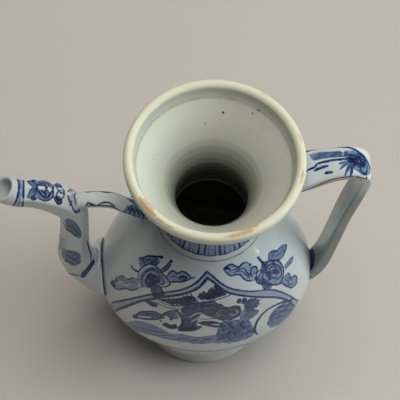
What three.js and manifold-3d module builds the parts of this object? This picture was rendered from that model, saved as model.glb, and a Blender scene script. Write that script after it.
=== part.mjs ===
// A porcelain ewer with a dished mouth, a faceted S-shaped spout, a strut and an angular strap handle.
// Millimetres, +Z up, spout towards -X and handle towards +X. The vessel is mirrored about the plane Y = 0,
// and its belly is flatter at the front and back than at the sides that carry the spout and the handle.
// It is put together as a potter does it: thrown and turned sections, a spout moulded in two halves,
// and straps of clay, all luted with slip before one firing. Each luted section is one solid.
import * as THREE from "three";
import { mergeVertices } from "three/addons/utils/BufferGeometryUtils.js";
import Module from "manifold-3d";

const wasm = await Module();
wasm.setup();

// Heights above the table and radii about the vessel's axis.
const MOUTH_HEIGHT = 180;
const MOUTH_RADIUS = 45;
const LIP_DEPTH = 8; // upright part of the dished mouth
const LIP_THICKNESS = 5;
const CUP_SEAM_HEIGHT = 148; // the neck and the dished mouth are luted here
const THROAT_RADIUS = 18.2; // bore of the neck, at its narrowest
const NECK_WALL = 4;
const NECK_BASE_HEIGHT = 120; // the neck is luted on the shoulder here
const NECK_BASE_RADIUS = 28.2;
const BELLY_HEIGHT = 56; // the two halves of the body are luted here
const BELLY_RADIUS = 57.5; // towards the spout and the handle
const BELLY_DEPTH = 92; // from front to back, where the thrown body is pressed flatter
const BODY_WALL = 4;
const FOOT_HEIGHT = 13;
const FOOT_RADIUS = 34;
const FOOT_TOP_RADIUS = 32.5;
const FOOT_WALL = 4.5;
const FOOT_CHAMFER = 0.8;
const FLOOR_THICKNESS = 5;
const FLOOR_RECESS = 2; // the floor's underside is turned out above the foot's top

// The spout, on the mirror plane. Its section is a hexagon with one face to the front and one to the back.
const SPOUT_ROOT_RADIUS = 15; // round collar against the belly
const SPOUT_ROOT_HEIGHT = 58;
const SPOUT_RISER_X = -70;
const SPOUT_HALF_WIDTH = 7.2; // from the middle to an edge of the hexagon
const SPOUT_TIP_X = -104;
const SPOUT_TIP_HEIGHT = 148;
const SPOUT_TIP_RADIUS = 6.9;
const SPOUT_TIP_WALL = 2;
const SPOUT_LIMB_RADIUS = 7.4; // of the limb that reaches out from the riser
const SPOUT_KNEE_SWELL = 0.8; // more clay round the upper bend
const SPOUT_CURL = 2.2; // the tip turns up by this much
const SPOUT_BORE_RADIUS = 6.5; // hole through the belly behind the spout

// The handle: two flat straps that meet at a corner.
const STRAP_WIDTH = 15.5;
const STRAP_THICKNESS = 5.2;
const STRAP_NECK_WIDTH = 21; // it spreads where it is luted to the mouth
const STRAP_CORNER_X = 75.4;
const STRAP_TOP_HEIGHT = 175;
const STRAP_RISE = 21; // from the neck up to the strap's top
const STRAP_DROP = 12; // from the strap's top down to the joint below the corner
const STRAP_ROOT_HEIGHT = 55;

// The strut that ties the spout to the foot of the neck.
const STRUT_HEIGHT = 136.6;
const STRUT_WIDTH = 8.4;
const STRUT_THICKNESS = 5.4;

const SLIP_GAP = 0.3; // between luted sections
const TURNS = 48; // facets round a thrown section

const clay = (tint) => new THREE.MeshStandardMaterial({ color: tint, roughness: 0.18, metalness: 0 });
const WHITE_GLAZE = clay(0xdde3dc);
const BLUE_WHITE_GLAZE = clay(0xd4dde0);

// A closed profile of [radius, height] points, turned round the Z axis.
function thrown(points) {
  const profile = points.map(([radius, height]) => new THREE.Vector2(radius, height));
  if (profile[0].x > 0) profile.push(profile[0].clone());
  return new THREE.LatheGeometry(profile, TURNS).rotateX(Math.PI / 2);
}

// The body is thrown round and then pressed flatter at the front and back, between the foot and the neck.
function pressed(geometry) {
  const positions = geometry.attributes.position;
  for (let i = 0; i < positions.count; i++) {
    const height = positions.getZ(i);
    const rise = THREE.MathUtils.smoothstep(height, FOOT_HEIGHT, FOOT_HEIGHT + (BELLY_HEIGHT - FOOT_HEIGHT) * 0.36);
    const fall = THREE.MathUtils.smoothstep(height, BELLY_HEIGHT + 16, NECK_BASE_HEIGHT);
    const squeeze = (1 - BELLY_DEPTH / (2 * BELLY_RADIUS)) * rise * (1 - fall);
    positions.setY(i, positions.getY(i) * (1 - squeeze));
  }
  return geometry;
}

// Points on a smooth curve through a few [radius, height] points.
function smooth(through, count) {
  const curve = new THREE.SplineCurve(through.map(([radius, height]) => new THREE.Vector2(radius, height)));
  return curve.getPoints(count).map((point) => [point.x, point.y]);
}

// The same curve moved inwards by the wall (or outwards, where the wall is negative).
function offset(curve, wall) {
  return curve.map(([radius, height], i) => {
    const before = curve[Math.max(i - 1, 0)];
    const after = curve[Math.min(i + 1, curve.length - 1)];
    const along = new THREE.Vector2(after[0] - before[0], after[1] - before[1]).normalize();
    return [radius - along.y * wall, height + along.x * wall];
  });
}

// A three.js geometry as a manifold-3d solid, and back.
function solidOf(geometry) {
  const bare = geometry.clone();
  bare.deleteAttribute("normal");
  bare.deleteAttribute("uv");
  const merged = mergeVertices(bare, 1e-4);
  return new wasm.Manifold(
    new wasm.Mesh({
      numProp: 3,
      vertProperties: new Float32Array(merged.attributes.position.array),
      triVerts: new Uint32Array(merged.index.array),
    }),
  );
}

function geometryOf(solid) {
  const mesh = solid.getMesh();
  return new THREE.BufferGeometry()
    .setAttribute("position", new THREE.BufferAttribute(new Float32Array(mesh.vertProperties), 3))
    .setIndex(new THREE.BufferAttribute(new Uint32Array(mesh.triVerts), 1));
}

// A closed skin over rings of points, each ring convex and with as many points as the others.
function loft(rings) {
  const count = rings[0].length;
  const positions = rings.flat().flatMap((point) => point.toArray());
  const faces = [];
  for (let r = 0; r + 1 < rings.length; r++) {
    for (let i = 0; i < count; i++) {
      const a = r * count + i;
      const b = r * count + ((i + 1) % count);
      faces.push(a, b, b + count, a, b + count, a + count);
    }
  }
  const last = (rings.length - 1) * count;
  for (let i = 1; i + 1 < count; i++) {
    faces.push(0, i + 1, i);
    faces.push(last, last + i, last + i + 1);
  }
  return new THREE.BufferGeometry()
    .setAttribute("position", new THREE.Float32BufferAttribute(positions, 3))
    .setIndex(faces);
}

// Sections across a path in the mirror plane. sectionAt(share) gives [across, along Y] points of the section,
// counted anticlockwise as seen against the direction of the path.
function sweep(path, steps, sectionAt) {
  const rings = [];
  for (let s = 0; s <= steps; s++) {
    const share = s / steps;
    const middle = path.getPointAt(share);
    const tangent = path.getTangentAt(share);
    const across = new THREE.Vector3(tangent.z, 0, -tangent.x);
    rings.push(
      sectionAt(share).map(([outward, sideways]) =>
        middle.clone().addScaledVector(across, outward).add(new THREE.Vector3(0, sideways, 0)),
      ),
    );
  }
  return loft(rings);
}

const pathThrough = (points) =>
  new THREE.CatmullRomCurve3(
    points.map(([x, z]) => new THREE.Vector3(x, 0, z)),
    false,
    "centripetal",
  );

// The body's outer curve, from the foot up to the neck: points on it as shares of the way out and up.
const BULGE = BELLY_HEIGHT - FOOT_HEIGHT;
const SHOULDER = NECK_BASE_HEIGHT - BELLY_HEIGHT;
const belowBelly = (out, up) => [
  FOOT_TOP_RADIUS + (BELLY_RADIUS - FOOT_TOP_RADIUS) * out,
  FOOT_HEIGHT + BULGE * up,
];
const aboveBelly = (out, up) => [
  NECK_BASE_RADIUS + (BELLY_RADIUS - NECK_BASE_RADIUS) * out,
  BELLY_HEIGHT + SHOULDER * up,
];
const bodyThrough = [
  belowBelly(0, 0),
  belowBelly(0.48, 0.24),
  belowBelly(0.87, 0.6),
  belowBelly(1, 1),
  aboveBelly(0.89, 0.31),
  aboveBelly(0.64, 0.62),
  aboveBelly(0.3, 0.87),
  aboveBelly(0, 1),
];
const STEPS_BETWEEN = 3;
const bodyCurve = smooth(bodyThrough, (bodyThrough.length - 1) * STEPS_BETWEEN);
const bodyInner = offset(bodyCurve, BODY_WALL);
const bellyStep = 3 * STEPS_BETWEEN;
const lowerCurve = bodyCurve.slice(0, bellyStep + 1);
const upperCurve = bodyCurve.slice(bellyStep);

function footRing() {
  const inner = FOOT_RADIUS - FOOT_WALL;
  const top = FOOT_HEIGHT - SLIP_GAP;
  return thrown([
    [inner, 0],
    [FOOT_RADIUS - FOOT_CHAMFER, 0],
    [FOOT_RADIUS, FOOT_CHAMFER],
    [(FOOT_RADIUS + FOOT_TOP_RADIUS) / 2 - 0.4, FOOT_HEIGHT * 0.5],
    [FOOT_TOP_RADIUS, top],
    [inner - 1, top],
  ]);
}

function lowerBody() {
  const inner = bodyInner
    .slice(0, bellyStep + 1)
    .map((point) => [...point])
    .filter(([, height]) => height > FOOT_HEIGHT + FLOOR_THICKNESS);
  inner[inner.length - 1][1] = BELLY_HEIGHT - SLIP_GAP / 2;
  const outer = lowerCurve.map((point) => [...point]);
  outer[outer.length - 1][1] = BELLY_HEIGHT - SLIP_GAP / 2;
  return pressed(thrown([
    [0, FOOT_HEIGHT + FLOOR_RECESS],
    [FOOT_RADIUS - FOOT_WALL - 4, FOOT_HEIGHT + FLOOR_RECESS - 0.5],
    [FOOT_RADIUS - FOOT_WALL - 2, FOOT_HEIGHT],
    ...outer,
    ...inner.reverse(),
    [FOOT_TOP_RADIUS - 6, FOOT_HEIGHT + FLOOR_THICKNESS + 0.6],
    [0, FOOT_HEIGHT + FLOOR_THICKNESS],
  ]));
}

function upperBody() {
  const inner = bodyInner.slice(bellyStep).map((point) => [...point]);
  inner[0][1] = BELLY_HEIGHT + SLIP_GAP / 2;
  const outer = upperCurve.map((point) => [...point]);
  outer[0][1] = BELLY_HEIGHT + SLIP_GAP / 2;
  const top = NECK_BASE_HEIGHT - SLIP_GAP;
  outer[outer.length - 1][1] = top;
  const rim = inner.filter(([radius, height]) => height < top - 1 && radius > THROAT_RADIUS + 1);
  return pressed(thrown([...outer, [THROAT_RADIUS + 0.8, top], ...rim.reverse()]));
}

// The neck's outer curve, and the neck and the dished mouth above it: a funnel that turns up into an upright lip.
const NECK_RISE = CUP_SEAM_HEIGHT - NECK_BASE_HEIGHT;
const NECK_RADIUS = THROAT_RADIUS + NECK_WALL;
const SEAM_FLARE = 2.8; // how much wider the neck has grown again where the mouth is luted on
const neckOuter = smooth(
  [
    [NECK_BASE_RADIUS, NECK_BASE_HEIGHT],
    [NECK_RADIUS + (NECK_BASE_RADIUS - NECK_RADIUS) * 0.38, NECK_BASE_HEIGHT + NECK_RISE * 0.2],
    [NECK_RADIUS, NECK_BASE_HEIGHT + NECK_RISE * 0.57],
    [NECK_RADIUS + SEAM_FLARE, CUP_SEAM_HEIGHT],
  ],
  9,
);

function neck() {
  const outer = neckOuter.map((point) => [...point]);
  outer[outer.length - 1][1] = CUP_SEAM_HEIGHT - SLIP_GAP;
  return thrown([
    ...outer,
    [THROAT_RADIUS + SEAM_FLARE, CUP_SEAM_HEIGHT - SLIP_GAP],
    [THROAT_RADIUS + SEAM_FLARE * 0.3, NECK_BASE_HEIGHT + NECK_RISE * 0.78],
    [THROAT_RADIUS, NECK_BASE_HEIGHT + NECK_RISE * 0.55],
    [THROAT_RADIUS + 0.2, NECK_BASE_HEIGHT + NECK_RISE * 0.25],
    [THROAT_RADIUS + 1.1, NECK_BASE_HEIGHT],
  ]);
}

function cupCurves() {
  const waist = NECK_RADIUS + SEAM_FLARE;
  const brim = MOUTH_HEIGHT - LIP_DEPTH;
  const rise = brim - CUP_SEAM_HEIGHT;
  const lipMiddle = MOUTH_RADIUS - LIP_THICKNESS / 2;
  const outer = smooth(
    [
      [waist, CUP_SEAM_HEIGHT],
      [waist + (MOUTH_RADIUS - waist) * 0.36, CUP_SEAM_HEIGHT + rise * 0.41],
      [waist + (MOUTH_RADIUS - waist) * 0.69, CUP_SEAM_HEIGHT + rise * 0.75],
      [MOUTH_RADIUS - 1.2, brim + 0.4],
      [MOUTH_RADIUS, brim + LIP_DEPTH * 0.45],
    ],
    10,
  );
  const lip = [];
  for (let i = 1; i < 6; i++) {
    const turn = (Math.PI * i) / 6;
    lip.push([
      lipMiddle + (LIP_THICKNESS / 2) * Math.cos(turn),
      MOUTH_HEIGHT - (LIP_THICKNESS / 2) * (1 - Math.sin(turn)),
    ]);
  }
  const face = MOUTH_RADIUS - LIP_THICKNESS;
  const throat = THROAT_RADIUS + SEAM_FLARE;
  const inner = smooth(
    [
      [face, brim + LIP_DEPTH * 0.6],
      [face - 1, brim],
      [throat + (face - throat) * 0.76, CUP_SEAM_HEIGHT + rise * 0.79],
      [throat + (face - throat) * 0.37, CUP_SEAM_HEIGHT + rise * 0.4],
      [throat + (face - throat) * 0.11, CUP_SEAM_HEIGHT + rise * 0.13],
      [throat, CUP_SEAM_HEIGHT],
    ],
    10,
  );
  return { outer, lip, inner };
}

function dishedMouth() {
  const { outer, lip, inner } = cupCurves();
  return thrown([...outer, ...lip, ...inner]);
}

// Everything that the vessel's outside encloses, grown by the slip gap, for cutting what is luted on.
function vesselEnvelope() {
  const { outer, lip } = cupCurves();
  const side = [...bodyCurve, ...neckOuter.slice(1), ...outer.slice(1), ...lip.slice(0, 3)];
  const grown = offset(side, -SLIP_GAP);
  return pressed(thrown([[0, FOOT_HEIGHT], ...grown, [0, MOUTH_HEIGHT + SLIP_GAP]]));
}

// The spout's middle line: out from the belly, up the riser, and out again to the tip. Its points are shares of
// the way up from the root to the tip, of the way out to the riser, and of the way from the riser to the tip.
const ROOT_REACH = -SPOUT_RISER_X - BELLY_RADIUS;
const TIP_REACH = SPOUT_RISER_X - SPOUT_TIP_X;
const spoutHeight = (share) => SPOUT_ROOT_HEIGHT + (SPOUT_TIP_HEIGHT - SPOUT_ROOT_HEIGHT) * share;
const spoutPoints = [
  [SPOUT_RISER_X + ROOT_REACH * 1.64, spoutHeight(-0.01)],
  [SPOUT_RISER_X + ROOT_REACH * 0.76, spoutHeight(0)],
  [SPOUT_RISER_X + ROOT_REACH * 0.24, spoutHeight(0.043)],
  [SPOUT_RISER_X, spoutHeight(0.15)],
  [SPOUT_RISER_X, spoutHeight(0.36)],
  [SPOUT_RISER_X + TIP_REACH * 0.015, spoutHeight(0.575)],
  [SPOUT_RISER_X - TIP_REACH * 0.015, spoutHeight(0.766)],
  [SPOUT_RISER_X - TIP_REACH * 0.176, spoutHeight(0.872)],
  [SPOUT_RISER_X - TIP_REACH * 0.5, spoutHeight(0.947)],
  [SPOUT_RISER_X - TIP_REACH * 0.82, spoutHeight(0.967)],
  [SPOUT_RISER_X - TIP_REACH * 0.95, spoutHeight(0.993)],
  [SPOUT_TIP_X, SPOUT_TIP_HEIGHT + SPOUT_CURL],
];
const spoutPath = pathThrough(spoutPoints);

// The bore runs past both ends of the spout, and leaves the tip the way that the tip turns up.
const borePath = pathThrough([
  [-(BELLY_RADIUS - 20), SPOUT_ROOT_HEIGHT - 1.2],
  ...spoutPoints,
  [SPOUT_TIP_X - SPOUT_CURL, SPOUT_TIP_HEIGHT + SPOUT_CURL * 3],
]);

const SPOUT_SIDES = 6;
const SPOUT_POINTS = 18;

// A hexagon with softened edges (facets 1) or a circle (facets 0), of the given radius to its edges.
function facetedRing(radius, facets) {
  const ring = [];
  for (let i = 0; i < SPOUT_POINTS; i++) {
    const turn = (2 * Math.PI * i) / SPOUT_POINTS;
    const fromEdge = ((turn + Math.PI / SPOUT_SIDES) % ((2 * Math.PI) / SPOUT_SIDES)) - Math.PI / SPOUT_SIDES;
    const flat = Math.cos(Math.PI / SPOUT_SIDES) / Math.cos(Math.PI / SPOUT_SIDES - Math.abs(fromEdge));
    const reach = radius * THREE.MathUtils.lerp(1, Math.min(flat, 0.965), facets);
    ring.push([reach * Math.cos(turn), reach * Math.sin(turn)]);
  }
  return ring;
}

const spoutRadius = (share) => {
  const collar = THREE.MathUtils.lerp(SPOUT_ROOT_RADIUS + 2, SPOUT_HALF_WIDTH + 1.4, Math.min(share / 0.12, 1));
  const taper = THREE.MathUtils.lerp(SPOUT_HALF_WIDTH + 1.4, SPOUT_LIMB_RADIUS, Math.min((share - 0.12) / 0.5, 1));
  const knee = SPOUT_KNEE_SWELL * Math.exp(-(((share - 0.74) / 0.09) ** 2));
  const waist = (SPOUT_TIP_RADIUS - SPOUT_LIMB_RADIUS) * THREE.MathUtils.smoothstep(share, 0.8, 0.97);
  return (share < 0.12 ? collar : taper) + knee + waist;
};
const spoutFacets = (share) =>
  THREE.MathUtils.smoothstep(share, 0.12, 0.2) * (1 - THREE.MathUtils.smoothstep(share, 0.88, 0.94));

function spoutHalf(side) {
  const steps = 32;
  const outer = solidOf(sweep(spoutPath, steps, (share) => facetedRing(spoutRadius(share), spoutFacets(share))));
  const bore = solidOf(
    sweep(borePath, steps + 6, (share) =>
      facetedRing(THREE.MathUtils.lerp(SPOUT_BORE_RADIUS, SPOUT_TIP_RADIUS - SPOUT_TIP_WALL, Math.min(share / 0.25, 1)), 0),
    ),
  );
  const reach = 200;
  const halfSpace = new THREE.BoxGeometry(reach, reach, reach).translate(
    SPOUT_RISER_X,
    side * (reach / 2 + SLIP_GAP / 2),
    MOUTH_HEIGHT / 2,
  );
  return geometryOf(
    outer.subtract(bore).intersect(solidOf(halfSpace)).subtract(solidOf(vesselEnvelope())),
  );
}

const ewer = new THREE.Group();
function add(name, geometry, material) {
  const mesh = new THREE.Mesh(geometry, material);
  mesh.name = name;
  ewer.add(mesh);
}

// The hole through the belly's wall behind the spout.
function withSpoutHole(geometry) {
  const hole = new THREE.CylinderGeometry(SPOUT_BORE_RADIUS, SPOUT_BORE_RADIUS, 20, 24)
    .rotateZ(Math.PI / 2)
    .translate(-BELLY_RADIUS, 0, SPOUT_ROOT_HEIGHT - 1);
  return geometryOf(solidOf(geometry).subtract(solidOf(hole)));
}

// A flat strap's section: a rounded rectangle, slightly crowned.
function strapRing(width, thickness) {
  const ring = [];
  const points = 16;
  for (let i = 0; i < points; i++) {
    const turn = (2 * Math.PI * (i + 0.5)) / points;
    const c = Math.cos(turn);
    const s = Math.sin(turn);
    const power = 0.45;
    ring.push([
      (thickness / 2) * Math.sign(c) * Math.abs(c) ** power,
      (width / 2) * Math.sign(s) * Math.abs(s) ** power,
    ]);
  }
  return ring;
}

const CORNER_JOINT_HEIGHT = STRAP_TOP_HEIGHT - STRAP_DROP; // the two straps are luted here
const upperStrapPath = pathThrough([
  [THROAT_RADIUS + STRAP_RISE * 0.06, STRAP_TOP_HEIGHT - STRAP_RISE],
  [THROAT_RADIUS + STRAP_RISE * 0.59, STRAP_TOP_HEIGHT - STRAP_RISE * 0.76],
  [MOUTH_RADIUS, STRAP_TOP_HEIGHT - STRAP_RISE * 0.5],
  [STRAP_CORNER_X - STRAP_DROP * 1.25, STRAP_TOP_HEIGHT - STRAP_RISE * 0.18],
  [STRAP_CORNER_X - STRAP_DROP * 0.5, STRAP_TOP_HEIGHT - STRAP_DROP * 0.25],
  [STRAP_CORNER_X - STRAP_DROP * 0.08, STRAP_TOP_HEIGHT - STRAP_DROP * 0.57],
  [STRAP_CORNER_X, STRAP_TOP_HEIGHT - STRAP_DROP * 0.92],
  [STRAP_CORNER_X - STRAP_DROP * 0.04, STRAP_TOP_HEIGHT - STRAP_DROP * 1.58],
]);

// Everything on one side of the level joint at the corner, out past the mouth.
function aboveJoint(height) {
  const size = 60;
  return solidOf(new THREE.BoxGeometry(size, size, size).translate(STRAP_CORNER_X, 0, height + size / 2));
}

function belowJoint(height) {
  const size = 60;
  return solidOf(new THREE.BoxGeometry(size, size, size).translate(STRAP_CORNER_X + 15, 0, height - size / 2));
}

function upperStrap() {
  const spread = (share) =>
    THREE.MathUtils.lerp(STRAP_NECK_WIDTH, STRAP_WIDTH, THREE.MathUtils.smoothstep(share, 0.25, 0.75));
  const strap = solidOf(sweep(upperStrapPath, 22, (share) => strapRing(spread(share), STRAP_THICKNESS)));
  return geometryOf(strap.subtract(solidOf(vesselEnvelope())).subtract(belowJoint(CORNER_JOINT_HEIGHT)));
}

// The lower strap falls from the corner to the belly, and leans in towards it as it falls.
const STRAP_FALL = CORNER_JOINT_HEIGHT - STRAP_ROOT_HEIGHT;
const STRAP_LEAN = STRAP_CORNER_X - BELLY_RADIUS;
const onLowerStrap = (lean, fall) => [STRAP_CORNER_X - STRAP_LEAN * lean, CORNER_JOINT_HEIGHT - STRAP_FALL * fall];
const lowerStrapPath = pathThrough([
  onLowerStrap(0, -0.05),
  onLowerStrap(0.067, 0.093),
  onLowerStrap(0.335, 0.361),
  onLowerStrap(0.547, 0.667),
  onLowerStrap(0.72, 0.87),
  onLowerStrap(0.944, 0.98),
  onLowerStrap(1.28, 1.056),
]);

function lowerStrap() {
  const strap = solidOf(sweep(lowerStrapPath, 18, () => strapRing(STRAP_WIDTH - 0.5, STRAP_THICKNESS + 0.4)));
  return geometryOf(
    strap.subtract(solidOf(vesselEnvelope())).subtract(aboveJoint(CORNER_JOINT_HEIGHT - SLIP_GAP)),
  );
}

// The strut leaves the riser level and bends down to the foot of the neck.
const STRUT_REACH = -SPOUT_RISER_X - NECK_BASE_RADIUS;
const STRUT_FALL = STRUT_HEIGHT - NECK_BASE_HEIGHT;
const onStrut = (out, fall) => [SPOUT_RISER_X + STRUT_REACH * out, STRUT_HEIGHT - STRUT_FALL * fall];
const strutPath = pathThrough([
  onStrut(-0.03, 0),
  onStrut(0.335, 0),
  onStrut(0.48, 0.085),
  onStrut(0.67, 0.48),
  onStrut(0.86, 0.845),
  onStrut(1.07, 1.12),
]);

function strut() {
  const bar = solidOf(sweep(strutPath, 18, () => strapRing(STRUT_WIDTH, STRUT_THICKNESS)));
  const spoutEnvelope = solidOf(
    sweep(spoutPath, 32, (share) => facetedRing(spoutRadius(share) + SLIP_GAP, spoutFacets(share))),
  );
  return geometryOf(bar.subtract(spoutEnvelope).subtract(solidOf(vesselEnvelope())));
}

add("foot_ring", footRing(), WHITE_GLAZE);
add("lower_body", withSpoutHole(lowerBody()), WHITE_GLAZE);
add("upper_body", withSpoutHole(upperBody()), BLUE_WHITE_GLAZE);
add("neck", neck(), WHITE_GLAZE);
add("dished_mouth", dishedMouth(), WHITE_GLAZE);
add("spout_front_half", spoutHalf(-1), BLUE_WHITE_GLAZE);
add("spout_back_half", spoutHalf(1), BLUE_WHITE_GLAZE);
add("spout_strut", strut(), BLUE_WHITE_GLAZE);
add("handle_upper_strap", upperStrap(), BLUE_WHITE_GLAZE);
add("handle_lower_strap", lowerStrap(), WHITE_GLAZE);

// The frame's origin is under the middle of the whole ewer, on the table.
const reach = new THREE.Box3().setFromObject(ewer);
ewer.position.x = -(reach.min.x + reach.max.x) / 2;

export default ewer;
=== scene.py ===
"""A porcelain ewer: belly pressed flat, dished mouth, S-shaped spout, strut and angular strap handle.

Shapes are worked out in millimetres from the table and from the vessel's own upright axis.  A skin is
moved to the frame, in metres, when its mesh is made.  The cobalt painting is laid on the skins as
distances to its brush strokes, kept at their vertices, and the glaze's nodes turn them into ink.
"""

import logging
import math
from collections.abc import Callable, Sequence
from copy import copy
from dataclasses import dataclass, field
from enum import Enum

import bpy
import numpy as np
from mathutils import Matrix, Vector

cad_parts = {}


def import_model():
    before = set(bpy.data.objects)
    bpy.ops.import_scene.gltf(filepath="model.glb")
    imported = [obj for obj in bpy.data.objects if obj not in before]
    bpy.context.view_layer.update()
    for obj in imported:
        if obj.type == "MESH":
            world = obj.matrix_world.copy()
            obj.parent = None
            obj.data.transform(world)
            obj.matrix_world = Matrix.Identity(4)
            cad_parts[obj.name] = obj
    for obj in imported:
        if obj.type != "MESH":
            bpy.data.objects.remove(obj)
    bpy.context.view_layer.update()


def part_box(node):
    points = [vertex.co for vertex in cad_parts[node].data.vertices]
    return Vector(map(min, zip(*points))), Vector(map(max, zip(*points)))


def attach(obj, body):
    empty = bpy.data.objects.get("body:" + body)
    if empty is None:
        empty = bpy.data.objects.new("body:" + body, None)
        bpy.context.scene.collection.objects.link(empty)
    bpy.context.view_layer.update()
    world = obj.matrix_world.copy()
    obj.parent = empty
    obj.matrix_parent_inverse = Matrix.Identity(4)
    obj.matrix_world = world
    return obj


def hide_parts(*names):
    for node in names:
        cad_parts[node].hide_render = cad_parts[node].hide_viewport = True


log = logging.getLogger("ewer")

Points = np.ndarray
Pair = tuple[Points, Points]
Socket = bpy.types.NodeSocket
Spot = tuple[float, float]
Tint = tuple[float, float, float, float]  # red, green, blue and cover
Tips = tuple[float, float]  # a stroke's width at its start and its end, as shares

MM = 0.001
FULL_TURN = 2 * math.pi
FAR = 2.0  # mm; a vertex farther than this from every stroke only knows that it is far
SAMPLES = 4001  # fine steps round a section, where its length is measured
IMAGE_SIDE = 400  # pixels


def smoothstep(value: Points | float, low: float, high: float) -> Points:
    """Rises smoothly from 0 at low to 1 at high."""
    share = np.clip((np.asarray(value, dtype=float) - low) / (high - low), 0.0, 1.0)
    return share * share * (3.0 - 2.0 * share)


def smooth_path(knots: Sequence | Points, steps: int, evenness: float = 0.0) -> Points:
    """A Catmull-Rom curve through every knot.

    Args:
        knots: one row for each point, in order.
        steps: points made for each stretch between two knots.
        evenness: 0 takes every stretch as equally long, 0.5 goes by the root of its length.

    Returns:
        The curve's points, one row each, from the first knot to the last.
    """
    rows = np.asarray(knots, dtype=float)
    if evenness:
        ends = (2 * rows[0] - rows[1], 2 * rows[-1] - rows[-2])
    else:
        ends = (rows[0], rows[-1])
    rows = np.vstack([ends[0], rows, ends[1]])
    gaps = np.maximum(np.linalg.norm(np.diff(rows, axis=0), axis=1), 1e-9) ** evenness
    share = np.linspace(0.0, 1.0, steps, endpoint=False)[:, None]
    stretches = []
    for i in range(1, len(rows) - 2):
        before, start, end, after = rows[i - 1 : i + 3]
        gap_before, gap, gap_after = gaps[i - 1 : i + 2]
        leave = (start - before) / gap_before - (end - before) / (gap_before + gap) + (end - start) / gap
        reach = (end - start) / gap - (after - start) / (gap + gap_after) + (after - end) / gap_after
        bend = 2 * start - 2 * end + gap * (leave + reach)
        swing = 3 * (end - start) - gap * (2 * leave + reach)
        stretches.append(start + share * (gap * leave + share * (swing + share * bend)))
    stretches.append(rows[-2][None, :])
    return np.vstack(stretches)


def even_turns(count: int) -> Points:
    """Evenly spaced directions round a circle, in radians."""
    return np.arange(count) / count * FULL_TURN


def thrown(profile: Points, turns: Points) -> Points:
    """Turns a profile round the axis.

    Args:
        profile: rows of (radius, height).
        turns: directions of the columns.

    Returns:
        The points, rows by columns by three.
    """
    x = profile[:, :1] * np.cos(turns)
    y = profile[:, :1] * np.sin(turns)
    return np.stack([x, y, np.broadcast_to(profile[:, 1:], x.shape)], axis=-1)


def add_object(name: str, data: bpy.types.ID) -> bpy.types.Object:
    """Makes an object of a mesh, lamp or camera.

    Args:
        name: the object's name.
        data: what it is made of.

    Returns:
        The object, linked to the scene.
    """
    made = bpy.data.objects.new(name, data)
    bpy.context.scene.collection.objects.link(made)
    return made


class Track:
    """A line of points that is read by the distance along it."""

    def __init__(self, points: Points) -> None:
        """Measures the line.

        Args:
            points: one row each, in order.
        """
        self.points = np.asarray(points, dtype=float)
        steps = np.linalg.norm(np.diff(self.points, axis=0), axis=1)
        self.marks = np.concatenate([[0.0], np.cumsum(steps)])
        self.length = float(self.marks[-1])

    def at(self, distance: Points | float) -> Points:
        """The points at these distances from the start."""
        wanted = np.asarray(distance, dtype=float)
        return np.stack([np.interp(wanted, self.marks, axis) for axis in self.points.T], axis=-1)

    def heading(self, distance: Points | float) -> Points:
        """The line's direction at these distances.

        Args:
            distance: millimetres from the line's start.

        Returns:
            A unit vector for each distance.
        """
        wanted = np.asarray(distance, dtype=float)
        ahead = self.at(np.minimum(wanted + 0.4, self.length))
        step = ahead - self.at(np.maximum(wanted - 0.4, 0.0))
        return step / np.linalg.norm(step, axis=-1, keepdims=True)


class Layer(Enum):
    """What a skin's vertices know about their glaze, and what a bare one holds."""

    LINE = ("line", FAR)  # mm to the edge of a dark brush line, below 0 inside it
    WASH = ("wash", FAR)  # mm to the edge of a thin wash
    TONE = ("tone", 0.0)  # depth of that wash
    FRIT = ("frit", FAR)  # mm to the edge of a chipped, tan patch
    PIT = ("pit", FAR)  # mm to the edge of a pinhole
    THIN = ("thin", 0.0)  # how far the glaze has drawn back from an edge
    GRIME = ("grime", 0.0)  # how far a band is darkened: the glaze pooled in the lip's inner crease, and just under the lip outside
    DULL = ("dull", 0.0)  # how far painted shade greys the glaze: inside the body, down the throat, on the strap below the corner


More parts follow.
